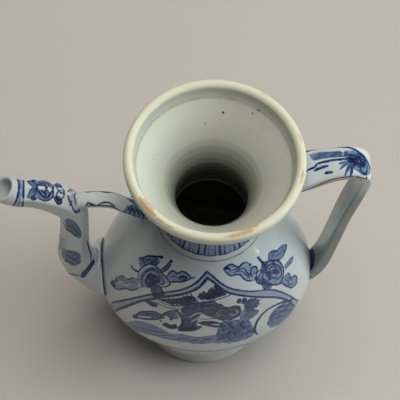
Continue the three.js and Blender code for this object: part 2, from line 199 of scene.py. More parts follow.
class Skin:
    """A grid of points wrapped round in its columns and closed along its rows."""

    def __init__(self, points: Points, ring: bool) -> None:
        """Keeps the grid and clears its layers.

        Args:
            points: rows by columns by three, in millimetres from the vessel's axis.
            ring: whether the last row meets the first; otherwise each end is drawn to a point.
        """
        self.points = points
        self.ring = ring
        self.rows, self.columns = points.shape[:2]
        count = self.rows * self.columns
        self.layers = {layer: np.full(count, layer.value[1]) for layer in Layer}

    def grid(self, values: Points) -> Points:
        """One value for each vertex, from one value for each row."""
        return np.repeat(np.asarray(values, dtype=float), self.columns)

    def _faces(self) -> list[tuple[int, ...]]:
        """The skin's faces.

        Returns:
            Corner numbers of each face, with any end points numbered last.
        """
        rows = self.rows if self.ring else self.rows - 1
        row, column = np.meshgrid(np.arange(rows), np.arange(self.columns), indexing="ij")
        next_row = (row + 1) % self.rows
        next_column = (column + 1) % self.columns
        corners = [
            row * self.columns + column,
            row * self.columns + next_column,
            next_row * self.columns + next_column,
            next_row * self.columns + column,
        ]
        faces = [tuple(face) for face in np.stack(corners, axis=-1).reshape(-1, 4).tolist()]
        if not self.ring:
            start = self.rows * self.columns
            last = (self.rows - 1) * self.columns
            for i in range(self.columns):
                j = (i + 1) % self.columns
                faces.append((start, j, i))
                faces.append((start + 1, last + i, last + j))
        return faces

    def _vertices(self) -> Points:
        """The skin's corners.

        Returns:
            The grid's points, and the middle of each end row where the ends are closed.
        """
        flat = self.points.reshape(-1, 3)
        if self.ring:
            return flat
        return np.vstack([flat, self.points[0].mean(axis=0), self.points[-1].mean(axis=0)])

    def to_object(self, name: str, axis_x: float) -> bpy.types.Object:
        """Makes the skin a mesh in the frame.

        Args:
            name: the new piece's name.
            axis_x: where the vessel's axis stands in the frame, in metres.

        Returns:
            The object, smooth, with its layers as attributes of its points.
        """
        vertices = self._vertices()
        placed = vertices * MM + np.array([axis_x, 0.0, 0.0])
        faces = self._faces()
        quads = np.array([face for face in faces if len(face) == 4])
        a, b, c, d = (vertices[quads[:, k]] for k in range(4))
        volume = np.sum(a * (np.cross(b, c) + np.cross(c, d)))
        if volume < 0:
            faces = [face[::-1] for face in faces]
        mesh = bpy.data.meshes.new(name)
        mesh.from_pydata(placed.tolist(), [], faces)
        mesh.polygons.foreach_set("use_smooth", np.ones(len(faces), dtype=bool))
        for layer, values in self.layers.items():
            word, bare = layer.value
            full = np.full(len(vertices), bare, dtype=np.float32)
            full[: len(values)] = values
            mesh.attributes.new(word, "FLOAT", "POINT").data.foreach_set("value", full)
        mesh.update()
        return add_object(name, mesh)


class Canvas:
    """The part of a skin that one painting lies on, with drawing coordinates in millimetres."""

    def __init__(self, skin: Skin, across: Points, up: Points, place: Callable, where: Points) -> None:
        """Picks the skin's vertices that the brush may reach.

        Args:
            skin: the skin that is painted.
            across: drawing coordinate of every vertex, to the right.
            up: drawing coordinate of every vertex, upwards.
            place: turns rows of (across, up) into points on the skin.
            where: whether each vertex belongs to this canvas.
        """
        self.skin = skin
        self.place = place
        self.indices = np.flatnonzero(where)
        self.spots = skin.points.reshape(-1, 3)[self.indices]
        self.across = across[self.indices]
        self.up = up[self.indices]

    def flipped(self, side: float) -> "Canvas":
        """This canvas, with its second drawing coordinate turned round or not.

        Args:
            side: -1 turns it round, 1 leaves it.

        Returns:
            A canvas on the same skin.
        """
        twin = copy(self)
        twin.up = side * self.up
        twin.place = lambda drawn: self.place(drawn * (1.0, side))
        return twin

    def _gap(self, path: Points, half: Points) -> Pair:
        """Distance from the near vertices to the edge of a stroke.

        Args:
            path: the stroke's middle line, as points on the skin.
            half: half the stroke's width at each of them.

        Returns:
            Places in this canvas of the near vertices, and their distances, below 0 inside.
        """
        room = FAR + float(half.max())
        inside = (self.spots > path.min(axis=0) - room) & (self.spots < path.max(axis=0) + room)
        near = np.flatnonzero(inside.all(axis=1))
        spots = self.spots[near]
        best = np.full(len(near), FAR)
        for i in range(len(path) - 1):
            along = path[i + 1] - path[i]
            share = np.clip((spots - path[i]) @ along / max(float(along @ along), 1e-9), 0.0, 1.0)
            middle = path[i] + share[:, None] * along
            width = half[i] + share * (half[i + 1] - half[i])
            best = np.minimum(best, np.linalg.norm(spots - middle, axis=1) - width)
        return near, best

    def _stroke(self, points: Sequence, width: float, tips: Tips, bend: bool) -> Pair:
        """Distance from the near vertices to one pulled stroke, thinner towards its tips.

        Args:
            points: the stroke's points, in drawing coordinates.
            width: its full width.
            tips: its width at the start and the end, as shares of that.
            bend: whether it curves through its points.

        Returns:
            As for _gap.
        """
        bent = bend and len(points) > 2
        path = self.place(smooth_path(points, 6, 0.5) if bent else np.asarray(points, dtype=float))
        share = np.linspace(0.0, 1.0, len(path))
        start, end = tips
        full = np.minimum(start + (1 - start) * share * 5, end + (1 - end) * (1 - share) * 5)
        return self._gap(path, 0.5 * width * np.minimum(full, 1.0))

    def _lower(self, layer: Layer, near: Points, gap: Points) -> None:
        """Keeps the smaller of a layer's distances and these."""
        at = self.indices[near]
        self.skin.layers[layer][at] = np.minimum(self.skin.layers[layer][at], gap)

    def line(
        self, points: Sequence, width: float = 0.8, tips: Tips = (0.6, 0.4), bend: bool = True
    ) -> None:
        """Pulls one dark brush line through these points."""
        self._lower(Layer.LINE, *self._stroke(points, width, tips, bend))

    def dot(self, centre: Spot, radius: float, layer: Layer = Layer.LINE) -> None:
        """Sets one round spot: dark cobalt, or another layer's flaw."""
        path = self.place(np.array([centre, centre], dtype=float))
        self._lower(layer, *self._gap(path, np.array([radius, radius])))

    def scuff(self, points: Sequence, width: float) -> None:
        """Chips the glaze along a line of these points."""
        self._lower(Layer.FRIT, *self._stroke(points, width, (0.5, 0.5), True))

    def _set_wash(self, near: Points, gap: Points, tone: float) -> None:
        """Lays a wash where it is nearer than those before it, or deeper and over them.

        Args:
            near: places of the near vertices, as from _gap.
            gap: their distances to the wash's edge.
            tone: the wash's depth, from 0 to 1.
        """
        at = self.indices[near]
        edges, tones = self.skin.layers[Layer.WASH], self.skin.layers[Layer.TONE]
        before, old_tone = edges[at], tones[at]
        over = (gap < 0) & (before < 0)
        tones[at] = np.where(over, np.maximum(old_tone, tone), np.where(gap < before, tone, old_tone))
        edges[at] = np.minimum(before, gap)

    def pale_line(self, points: Sequence, width: float, tone: float) -> None:
        """Pulls a line of thin wash through these points."""
        self._set_wash(*self._stroke(points, width, (0.6, 0.5), True), tone)

    def _area(self, points: Sequence, bend: bool) -> Pair:
        """Distance from the near vertices to the edge of a closed area.

        Args:
            points: corners of the area, in drawing coordinates.
            bend: whether its edge curves through them.

        Returns:
            As for _gap.
        """
        corners = np.asarray([*points, points[0]], dtype=float)
        outline = smooth_path(corners, 5, 0.5) if bend else corners
        path = self.place(outline)
        deep = float(np.ptp(path, axis=0).max()) / 2
        room = path.min(axis=0) - FAR - deep, path.max(axis=0) + FAR + deep
        near = np.flatnonzero(((self.spots > room[0]) & (self.spots < room[1])).all(axis=1))
        edge = np.full(len(near), FAR)
        close, gap = self._gap(path, np.zeros(len(path)))
        where = np.searchsorted(near, close)
        edge[where] = gap
        inside = np.zeros(len(near), dtype=bool)
        across, up = self.across[near], self.up[near]
        for (x0, y0), (x1, y1) in zip(outline[:-1], outline[1:]):
            crosses = (y0 > up) != (y1 > up)
            slope = (x1 - x0) / (y1 - y0) if y1 != y0 else 0.0
            inside ^= crosses & (across < x0 + slope * (up - y0))
        return near, np.where(inside, -edge, edge)

    def wash(self, points: Sequence, tone: float, bend: bool = True) -> None:
        """Fills a closed area with thin cobalt."""
        self._set_wash(*self._area(points, bend), tone)

    def mass(self, points: Sequence) -> None:
        """Fills a closed area with dark cobalt."""
        self._lower(Layer.LINE, *self._area(points, True))

    def leave(self, points: Sequence, width: float, wash_too: bool = False) -> None:
        """Leaves a line free of cobalt.

        Args:
            points: the line's points, in drawing coordinates.
            width: its full width.
            wash_too: whether the wash stays off it as well.
        """
        near, gap = self._stroke(points, width, (0.7, 0.5), True)
        at = self.indices[near]
        for layer in (Layer.LINE, Layer.WASH) if wash_too else (Layer.LINE,):
            self.skin.layers[layer][at] = np.maximum(self.skin.layers[layer][at], -gap)


@dataclass
class Body:
    """The thrown belly, pressed flatter at the front and back, on its sunken floor."""

    foot_height: float = 13.0
    foot_top_radius: float = 32.5
    belly_height: float = 56.0
    belly_radius: float = 57.5
    belly_depth: float = 92.0
    neck_base_height: float = 120.0
    neck_base_radius: float = 28.2
    throat_radius: float = 18.2
    wall: float = 4.0
    floor_recess: float = 2.0
    floor_thickness: float = 5.0
    columns: int = 432
    rows: int = 196
    front_crowding: float = 0.9  # how much closer the columns stand at the front and back
    inner_ease: float = 0.8  # how much wider the body's opening is than the throat over it

    def __post_init__(self) -> None:
        """Works out the outer curve, from the foot to the neck."""
        foot = np.array([self.foot_top_radius, self.foot_height])
        belly = np.array([self.belly_radius, self.belly_height])
        neck = np.array([self.neck_base_radius, self.neck_base_height])
        lower = np.array([(0.0, 0.0), (0.48, 0.24), (0.87, 0.6), (1.0, 1.0)])
        upper = np.array([(0.11, 0.31), (0.36, 0.62), (0.7, 0.87), (1.0, 1.0)])
        knots = np.vstack([foot + (belly - foot) * lower, belly + (neck - belly) * upper])
        self.outer = Track(smooth_path(knots, 40))

    def squeeze(self, height: Points) -> Points:
        """How far the round section is pressed flat.

        Args:
            height: millimetres over the table.

        Returns:
            A share of the round section's depth for each height.
        """
        full = self.foot_height + (self.belly_height - self.foot_height) * 0.36
        rise = smoothstep(height, self.foot_height, full)
        fall = smoothstep(height, self.belly_height + 16, self.neck_base_height)
        return (1 - self.belly_depth / (2 * self.belly_radius)) * rise * (1 - fall)

    def radius(self, height: Points) -> Points:
        """The outer radius at these heights, before pressing."""
        return np.interp(height, self.outer.points[:, 1], self.outer.points[:, 0])

    def surface(self, drawn: Points, side: float) -> Points:
        """Points on the painted front or back.

        Args:
            drawn: rows of (across, height).
            side: -1 for the front, 1 for the back.

        Returns:
            The points, one row each.
        """
        across, height = drawn.T
        radius = self.radius(height)
        x = np.clip(-side * across, -0.999 * radius, 0.999 * radius)
        y = side * np.sqrt(radius**2 - x**2) * (1 - self.squeeze(height))
        return np.stack([x, y, height], axis=-1)

    def reach_at(self, across: Points, height: Points) -> Points:
        """How far from the axis, towards the spout, the skin stands at these places."""
        depth = np.asarray(across) / (1 - self.squeeze(height))
        return np.sqrt(np.maximum(self.radius(height) ** 2 - depth**2, 0.0))

    def angles(self) -> Points:
        """Directions of the columns.

        Returns:
            Radians, closer together at the painted front and back.
        """
        fine = np.linspace(0.0, FULL_TURN, SAMPLES)
        density = 1 - self.front_crowding / 2 + self.front_crowding * np.sin(fine) ** 2
        total = np.concatenate([[0.0], np.cumsum((density[1:] + density[:-1]) / 2)])
        return np.interp(np.arange(self.columns) / self.columns, total / total[-1], fine)

    def skin(self) -> Skin:
        """Lays the underside, outside, open top, inside and floor.

        Returns:
            The closed skin, with painted shade over its inside.
        """
        outside = self.outer.at(np.linspace(0.0, self.outer.length, self.rows))
        inner_marks = np.linspace(6.0, self.outer.length - 9.0, 26)
        heading = self.outer.heading(inner_marks)
        inward = np.stack([-heading[:, 1], heading[:, 0]], axis=-1)
        inside = self.outer.at(inner_marks) + self.wall * inward
        inner_throat = self.throat_radius + self.inner_ease
        floor = self.foot_height + self.floor_thickness
        inside = inside[(inside[:, 1] > floor + 1.5) & (inside[:, 0] > inner_throat + 1)][::-1]
        edge = self.foot_height
        top = self.neck_base_height
        middle = 10.0
        base = self.foot_top_radius
        under = [(middle, edge + self.floor_recess), (base - 7.0, edge + 1.5)]
        seat = [(base - 5.0, edge + 0.05), (base - 2.5, edge - 0.05)]
        brim = [(self.neck_base_radius - 1.2, top + 0.3), (inner_throat, top + 0.3)]
        brim += [(inner_throat, top - 1.0)]
        rest = [(base - 6.0, floor + 0.6), (middle, floor)]
        before = under + seat
        profile = np.vstack([before, outside, brim, inside, rest])
        points = thrown(profile, self.angles())
        points[:, :, 1] *= 1 - self.squeeze(profile[:, 1:])
        skin = Skin(points, ring=False)
        # painted shade over the whole inside
        skin.layers[Layer.DULL][:] = skin.grid(np.arange(skin.rows) >= len(before) + len(outside))
        return skin

    def canvas(self, skin: Skin, side: float) -> Canvas:
        """The front or the back, drawn in millimetres from the axis and the table.

        Args:
            skin: the body's skin.
            side: -1 for the front, 1 for the back.

        Returns:
            The canvas.
        """
        spots = skin.points.reshape(-1, 3)
        reach = self.reach_at(spots[:, 1], spots[:, 2])
        outer = np.abs(np.abs(spots[:, 0]) - reach) < 0.5
        where = outer & (spots[:, 1] * side > 0) & (spots[:, 2] > self.foot_height - 0.1)

        def place(drawn: Points) -> Points:
            """Points on this side, from rows of (across, height)."""
            return self.surface(drawn, side)

        return Canvas(skin, -side * spots[:, 0], spots[:, 2], place, where)


@dataclass
class Foot:
    """The upright foot ring, glazed outside and bare where it stands."""

    height: float = 13.0
    radius: float = 34.0
    top_radius: float = 32.5
    wall: float = 4.5
    columns: int = 256

    def skin(self) -> Skin:
        """Turns the ring's profile.

        Returns:
            The closed skin, bare where it stands.
        """
        outer, inner = self.radius, self.radius - self.wall
        bottom = [
            (inner + 0.9, 0.25), (inner + 2.2, 0.0), (outer - 1.8, 0.0), (outer - 0.7, 0.3),
            (outer, 1.2),
        ]
        waist = (outer + self.top_radius) / 2 - 0.4
        top, middle = self.height + 0.1, self.height / 2
        side = smooth_path([(outer, 1.2), (waist, middle), (self.top_radius, top)], 16)
        inside = [(inner - 1.0, top), (inner - 0.5, middle), (inner, 1.0)]
        profile = np.vstack([bottom[:-1], side, inside])
        skin = Skin(thrown(profile, even_turns(self.columns)), ring=True)
        heights = skin.points[:, :, 2].ravel()
        skin.layers[Layer.THIN][:] = 1 - smoothstep(heights, 0.6, 2.2)
        return skin


@dataclass
class Mouth:
    """The neck and the dished mouth with its upright, rounded lip."""

    base_height: float = 120.0
    base_radius: float = 28.2
    throat_radius: float = 18.2
    neck_wall: float = 4.0
    seam_height: float = 148.0
    seam_flare: float = 2.8  # how much wider the neck has grown again at the seam
    height: float = 180.0
    radius: float = 45.0
    lip_depth: float = 8.0
    lip_thickness: float = 5.0
    ripple: float = 0.05  # how deep the thrower's rings are, down the throat
    ripple_pitch: float = 3.4
    full_shade_height: float = 130.0  # down here the painted shade inside the throat is at its darkest
    no_shade_height: float = 171.0  # and up here the painted shade has faded out
    columns: int = 376

    def outer(self) -> Points:
        """The outer curve.

        Returns:
            Its points, from the shoulder to the widest part of the lip.
        """
        narrow = self.throat_radius + self.neck_wall
        rise = self.seam_height - self.base_height
        brim = self.height - self.lip_depth
        cup = brim - self.seam_height
        waist = narrow + self.seam_flare
        grown = self.radius - waist
        knots = [
            (self.base_radius, self.base_height),
            (narrow + (self.base_radius - narrow) * 0.38, self.base_height + rise * 0.2),
            (narrow, self.base_height + rise * 0.57),
            (waist, self.seam_height),
            (waist + grown * 0.36, self.seam_height + cup * 0.41),
            (waist + grown * 0.69, self.seam_height + cup * 0.75),
            (self.radius - 1.2, brim + 0.4),
            (self.radius, brim + self.lip_depth * 0.45),
        ]
        return smooth_path(knots, 18)

    def lip(self) -> Points:
        """The rounded rim.

        Returns:
            Its points, from its outer side over the top.
        """
        turns = np.linspace(0.0, math.pi, 19)[1:-1]
        half = self.lip_thickness / 2
        middle = np.array([self.radius - half, self.height - half])
        return middle + half * np.stack([np.cos(turns), np.sin(turns)], axis=-1)

    def inner(self) -> Points:
        """The inner curve.

        Returns:
            Its points, from the lip down the dish and the bore to the shoulder.
        """
        brim = self.height - self.lip_depth
        cup = brim - self.seam_height
        face = self.radius - self.lip_thickness
        throat = self.throat_radius + self.seam_flare
        dish = face - throat
        rise = self.seam_height - self.base_height
        knots = [
            (face, brim + self.lip_depth * 0.6),
            (face - 1.0, brim),
            (throat + dish * 0.76, self.seam_height + cup * 0.79),
            (throat + dish * 0.37, self.seam_height + cup * 0.4),
            (throat + dish * 0.11, self.seam_height + cup * 0.13),
            (self.throat_radius + self.seam_flare * 0.3, self.base_height + rise * 0.78),
            (self.throat_radius, self.base_height + rise * 0.55),
            (self.throat_radius + 0.2, self.base_height + rise * 0.25),
            (self.throat_radius + 1.1, self.base_height),
        ]
        curve = smooth_path(knots, 14)
        depth = self.height - curve[:, 1]
        wave = np.sin(depth * FULL_TURN / self.ripple_pitch)
        curve[:, 0] += self.ripple * wave * smoothstep(depth, 16, 28)
        return curve

    def skin(self) -> Skin:
        """Turns the profile: up outside, over the lip and down inside.

        Returns:
            The closed skin, with its worn lip, a darker crease and band at the lip, and painted shade
            down the throat.
        """
        start = [
            (self.base_radius - 3.2, self.base_height - 1.4),
            (self.base_radius - 1.4, self.base_height - 1.0),
        ]
        end = [(self.throat_radius + 2.0, self.base_height - 1.4)]
        profile = np.vstack([start, self.outer(), self.lip(), self.inner(), end])
        skin = Skin(thrown(profile, even_turns(self.columns)), ring=True)
        radii = skin.grid(profile[:, 0])
        heights = skin.grid(profile[:, 1])
        inside = skin.grid(np.arange(skin.rows)) >= 2 + len(self.outer())
        top, edge = self.height, self.radius
        lip = smoothstep(heights, top - 5.5, top - 1.5) * smoothstep(radii, edge - 6.5, edge - 4.5)
        skin.layers[Layer.THIN][:] = np.maximum(lip, 0.5 * inside)
        # a darker line where glaze pools in the crease at the lip's inner foot, and a darker band just
        # under the lip outside
        foot = np.exp(-(((radii - edge + 6.3) / 0.4) ** 2)) * inside * (heights > top - 14)
        under = smoothstep(heights, top - 10.5, top - 8.5) * (1 - smoothstep(heights, top - 7, top - 5.6))
        skin.layers[Layer.GRIME][:] = np.maximum(0.4 * foot, 0.85 * under * ~inside)
        # painted shade inside the mouth, darkest down the throat
        clear = smoothstep(heights, self.full_shade_height, self.no_shade_height)
        skin.layers[Layer.DULL][:] = inside * (1 - clear) ** 1.1
        return skin

    def band(self, skin: Skin) -> Canvas:
        """The outside of the neck, drawn in millimetres round from the front and up from the table.

        Args:
            skin: the mouth's skin.

        Returns:
            The canvas.
        """
        spots = skin.points.reshape(-1, 3)
        turn = np.arctan2(spots[:, 0], -spots[:, 1])
        outside = skin.grid(np.arange(skin.rows)) < 2 + len(self.outer())
        curve = self.outer()

        def place(drawn: Points) -> Points:
            """Bends the drawing round the neck.

            Args:
                drawn: rows of (round, height).

            Returns:
                The points, one row each.
            """
            round_, height = drawn.T
            radius = np.interp(height, curve[:, 1], curve[:, 0])
            turns = round_ / self.base_radius
            return np.stack([radius * np.sin(turns), -radius * np.cos(turns), height], axis=-1)

        return Canvas(skin, turn * self.base_radius, spots[:, 2], place, outside)

    def dish(self, skin: Skin) -> Canvas:
        """The inside of the mouth and the lip, drawn in millimetres across and back from the axis.

        Args:
            skin: the mouth's skin.

        Returns:
            The canvas.
        """
        spots = skin.points.reshape(-1, 3)
        rim = np.vstack([self.lip(), self.inner()])
        within = skin.grid(np.arange(skin.rows)) >= 2 + len(self.outer())
        order = np.argsort(rim[:, 0])

        def place(drawn: Points) -> Points:
            """Points on the dish, from rows of (across, back)."""
            height = np.interp(np.hypot(*drawn.T), rim[order, 0], rim[order, 1])
            return np.column_stack([drawn, height])

        return Canvas(skin, spots[:, 0], spots[:, 1], place, within)


@dataclass
class Swept:
    """A section swept along a path on the mirror plane."""

    rows: int = 200
    columns: int = 64

    def knots(self) -> list[Spot]:
        """The path's points, as (x, height)."""
        raise NotImplementedError

    def section(self, share: Points, turns: Points) -> Pair:
        """How far the skin stands from the path, across it and along Y.

        Args:
            share: shares of the path's length.
            turns: directions round the section, in radians.

        Returns:
            Two arrays of millimetres, across the path and along Y.
        """
        raise NotImplementedError

    def track(self) -> Track:
        """The path, read by distance."""
        return Track(smooth_path(self.knots(), 60, 0.5))

    def spots(self, distances: Points, turns: Points) -> Points:
        """The skin's points.

        Args:
            distances: millimetres along the path.
            turns: directions round the section, one for each distance, or columns to its rows.

        Returns:
            The points, in the shape that the two make together.
        """
        track = self.track()
        middle = track.at(distances)
        heading = track.heading(distances)
        out, aside = self.section(distances / track.length, turns)
        x = middle[..., 0] + heading[..., 1] * out
        z = middle[..., 1] - heading[..., 0] * out
        return np.stack([x, np.broadcast_to(aside, x.shape), z], axis=-1)

    def grid(self, distances: Points, turns: Points) -> Points:
        """The skin's points in rows of one distance and columns of one direction."""
        return self.spots(distances[:, None], turns[None, :])

    def turns(self) -> Points:
        """Directions of the columns."""
        return even_turns(self.columns)


@dataclass
class Spout(Swept):
    """The faceted spout: a round root on the belly, an upright riser and a tip that reaches out."""

    body: Body = field(default_factory=Body)
    riser_x: float = -70.0
    root_height: float = 58.0
    root_radius: float = 15.0
    half_width: float = 7.2
    tip_x: float = -104.0
    tip_height: float = 148.0
    tip_radius: float = 7.4
    tip_wall: float = 2.2
    bore_radius: float = 6.5
    seat: float = 8.0  # where along the path the root's flare ends
    crook_fill: float = 4.5  # clay that rounds off the inner side of the lower bend
    knee_fill: float = 0.8  # clay on the outer side of the upper bend
    knee_swell: float = 0.8  # how much thicker the spout is all round that bend
    skirt: float = 2.8  # how far the root spreads where it meets the belly
    collar_spread: float = 3.4  # how far the riser's foot spreads over the root
    sharpness: float = 22.0  # 2 makes the facets a circle, more makes their edges sharper
    drawing_radius: float = 8.0
    flare_rows: int = 12
    bore_rows: int = 90
    rows: int = 280
    columns: int = 84

    def knots(self) -> list[Spot]:
        """Where the spout's middle line passes.

        Returns:
            Its points, from inside the belly to the tip.
        """
        belly = self.body.belly_radius
        return [
            (-(belly - 8), self.root_height - 1),
            (-(belly + 3), self.root_height),
            (self.riser_x + 3, self.root_height + 4),
            (self.riser_x, self.root_height + 14),
            (self.riser_x, self.root_height + 34),
            (self.riser_x + 0.5, self.tip_height - 40),
            (self.riser_x - 0.5, self.tip_height - 22),
            (self.riser_x - 6, self.tip_height - 12),
            (self.tip_x + 17, self.tip_height - 4.8),
            (self.tip_x + 6, self.tip_height - 3),
            (self.tip_x + 1.6, self.tip_height - 0.6),
            (self.tip_x - 0.6, self.tip_height + 2.2),
        ]

    def outer_radius(self, share: Points) -> Points:
        """How wide the spout is.

        Args:
            share: places along it, from 0 at the root to 1 at the tip.

        Returns:
            Millimetres from the middle line to an edge of the hexagon.
        """
        stem = self.half_width + 1.4
        collar = (self.root_radius + self.collar_spread - stem) * (1 - smoothstep(share, 0.0, 0.145))
        taper = (self.tip_radius - stem) * np.clip((share - 0.12) / 0.5, 0.0, 1.0)
        heel = 0.6 * (1 - smoothstep(share, 0.2, 0.48))
        knee = self.knee_swell * np.exp(-(((share - 0.74) / 0.09) ** 2))
        waist = -0.5 * smoothstep(share, 0.8, 0.97)
        return stem + collar + taper + heel + knee + waist

    def section(self, share: Points, turns: Points) -> Pair:
        """A hexagon with soft edges, round at the root and the tip.

        Args:
            share: shares of the path's length.
            turns: directions round it, in radians.

        Returns:
            Two arrays of millimetres, across the path and along Y.
        """
        faces = np.zeros(np.broadcast_shapes(share.shape, turns.shape))
        for k in range(6):
            lean = np.cos(turns - math.radians(30 + 60 * k))
            faces = faces + np.maximum(lean, 0.0) ** self.sharpness
        hexagon = math.cos(math.radians(30)) / faces ** (1 / self.sharpness)
        facets = smoothstep(share, 0.1, 0.2) * (1 - smoothstep(share, 0.88, 0.94))
        reach = self.outer_radius(share) * (1 + facets * (hexagon - 1))
        crook = smoothstep(share, 0.05, 0.14) * (1 - smoothstep(share, 0.16, 0.36))
        fill = self.crook_fill * crook * np.maximum(np.cos(turns), 0.0) ** 2
        knee = smoothstep(share, 0.58, 0.68) * (1 - smoothstep(share, 0.7, 0.8))
        fill = fill + self.knee_fill * knee * np.maximum(np.cos(turns), 0.0) ** 2
        return reach * np.cos(turns) + fill, reach * np.sin(turns)

    def canvas(self, skin: Skin) -> Canvas:
        """The outside, drawn in millimetres along the path and round from its inner or upper side.

        Round is 0 towards the vessel and on top of the tip, and below 0 towards the front.

        Args:
            skin: the spout's skin.

        Returns:
            The canvas.
        """
        distances = np.full(skin.rows, -1.0)  # below 0: out of the brush's reach
        distances[self.flare_rows : self.flare_rows + self.rows] = self.distances()
        turns = np.where(self.turns() > math.pi, self.turns() - FULL_TURN, self.turns())
        along = skin.grid(distances)
        around = np.tile(turns * self.drawing_radius, skin.rows)

        def place(drawn: Points) -> Points:
            """Points on the spout, from rows of (along, round)."""
            return self.spots(drawn[:, 0], drawn[:, 1] / self.drawing_radius)

        return Canvas(skin, along, around, place, along > 0)

    def distances(self) -> Points:
        """Where along the path the outside's rows stand."""
        return np.linspace(self.seat, self.track().length - 0.5, self.rows)

    def skin(self) -> Skin:
        """Lays the outside from the belly to the tip, the rim, and the bore back down.

        Returns:
            The closed skin, with the dark line round its root.
        """
        track = self.track()
        turns = self.turns()
        outside = self.grid(self.distances(), turns)
        foot_radius = self.root_radius + self.skirt
        y = foot_radius * np.sin(turns)
        z = self.root_height - 1 - foot_radius * np.cos(turns)
        root = np.stack([1.2 - self.body.reach_at(y, z), y, z], axis=-1)
        flare = []
        first, second = outside[0], outside[1]
        lead = (first - second) / np.linalg.norm(first - second, axis=-1, keepdims=True)
        bend = first + lead * 3.2
        for share in np.linspace(0.0, 1.0, self.flare_rows, endpoint=False):
            flare.append((1 - share) ** 2 * root + 2 * share * (1 - share) * bend + share**2 * first)
        inner_length = np.linspace(track.length - 0.5, 2.0, self.bore_rows)
        bore = self.grid(inner_length, turns)
        middle = track.at(inner_length)
        share = inner_length / track.length
        narrowing = self.tip_radius - self.tip_wall - self.bore_radius
        wanted = self.bore_radius + narrowing * np.clip(share / 0.25, 0, 1)
        centre = np.stack([middle[:, 0], np.zeros(len(middle)), middle[:, 1]], axis=-1)[:, None, :]
        away = bore - centre
        bore = centre + away / np.linalg.norm(away, axis=-1, keepdims=True) * wanted[:, None, None]
        end = outside[-1]
        rim_middle = (end + bore[0]) / 2
        heading = track.heading(track.length)
        forward = np.array([heading[0], 0.0, heading[1]])
        rim = []
        for turn in np.linspace(0.0, math.pi, 7)[1:-1]:
            rim.append(rim_middle + (end - rim_middle) * math.cos(turn) + forward * 0.5 * math.sin(turn))
        skin = Skin(np.concatenate([np.array(flare), outside, np.array(rim), bore]), ring=True)
        near = skin.points[: self.flare_rows + 10]
        apart = np.abs(-near[..., 0] - self.body.reach_at(near[..., 1], near[..., 2]) - 0.5)
        blob = np.exp(-(((np.abs(turns - math.pi) - 1.15) / 0.28) ** 2))
        skin.layers[Layer.LINE][: apart.size] = (apart - 0.5 - 1.2 * blob).ravel()
        return skin


@dataclass
class Strap(Swept):
    """A flat strap of clay: a rounded rectangle swept along a path."""

    squareness: float = 0.45
    start: float = 0.0  # where along the path the clay begins

    def size(self, share: Points) -> Pair:
        """Width along Y and thickness across the path."""
        raise NotImplementedError

    def section(self, share: Points, turns: Points) -> Pair:
        """A rounded rectangle of the strap's width and thickness.

        Args:
            share: shares of the path's length.
            turns: directions round it, in radians.

        Returns:
            Two arrays of millimetres, across the path and along Y.
        """
        width, thickness = self.size(share)
        c, s = np.cos(turns), np.sin(turns)
        out = thickness / 2 * np.sign(c) * np.abs(c) ** self.squareness
        aside = width / 2 * np.sign(s) * np.abs(s) ** self.squareness
        return out, aside

    def girth(self) -> Pair:
        """Measures the way round the section.

        Returns:
            Directions round it, and how far round each one lies.
        """
        fine = np.linspace(0.0, FULL_TURN, SAMPLES)
        out, aside = self.section(np.full(SAMPLES, 0.5), fine)
        return fine, Track(np.stack([out, aside], axis=-1)).marks

    def turns(self) -> Points:
        """Directions that space the columns evenly round the rounded rectangle."""
        fine, marks = self.girth()
        return np.interp(np.arange(self.columns) / self.columns * marks[-1], marks, fine)

    def skin(self) -> Skin:
        """The strap's closed skin."""
        return Skin(self.grid(self.distances(), self.turns()), ring=False)

    def distances(self) -> Points:
        """Where along the path the rows stand."""
        return np.linspace(self.start, self.track().length, self.rows)

    def canvas(self, skin: Skin) -> Canvas:
        """The strap, drawn in millimetres along its path and round from its upper or outer side's middle.

        Round is above 0 towards the back and below 0 towards the front.

        Args:
            skin: the strap's skin.

        Returns:
            The canvas.
        """
        fine, marks = self.girth()
        along = skin.grid(self.distances())
        around = np.tile(marks[-1] / 2 - np.interp(self.turns(), fine, marks), skin.rows)

        def place(drawn: Points) -> Points:
            """Points on the strap, from rows of (along, round)."""
            return self.spots(drawn[:, 0], np.interp(marks[-1] / 2 - drawn[:, 1], marks, fine))

        return Canvas(skin, along, around, place, np.ones(len(along), dtype=bool))


@dataclass
class Strut(Strap):
    """The bar that ties the spout to the foot of the neck."""

    riser_x: float = -70.0
    height: float = 136.6
    neck_radius: float = 28.2
    neck_height: float = 120.0
    width: float = 8.4
    thickness: float = 5.8
    squareness: float = 0.78
    rows: int = 130
    columns: int = 56

    def knots(self) -> list[Spot]:
        """Where the bar's middle line passes.

        Returns:
            Its points, from the spout to the neck.
        """
        return [
            (self.riser_x - 1.5, self.height - 4.5),
            (self.riser_x + 3.5, self.height - 1.2),
            (self.riser_x + 9, self.height),
            (self.riser_x + 14, self.height),
            (self.riser_x + 20, self.height - 1.4),
            (self.riser_x + 28, self.height - 8),
            (self.riser_x + 36, self.height - 14),
            (-(self.neck_radius - 3), self.neck_height - 2),
        ]

    def size(self, share: Points) -> Pair:
        """The bar, a little wider at its ends."""
        flare = 1.2 * smoothstep(share, 0.8, 1.0)
        return self.width + flare, np.full_like(share, self.thickness)


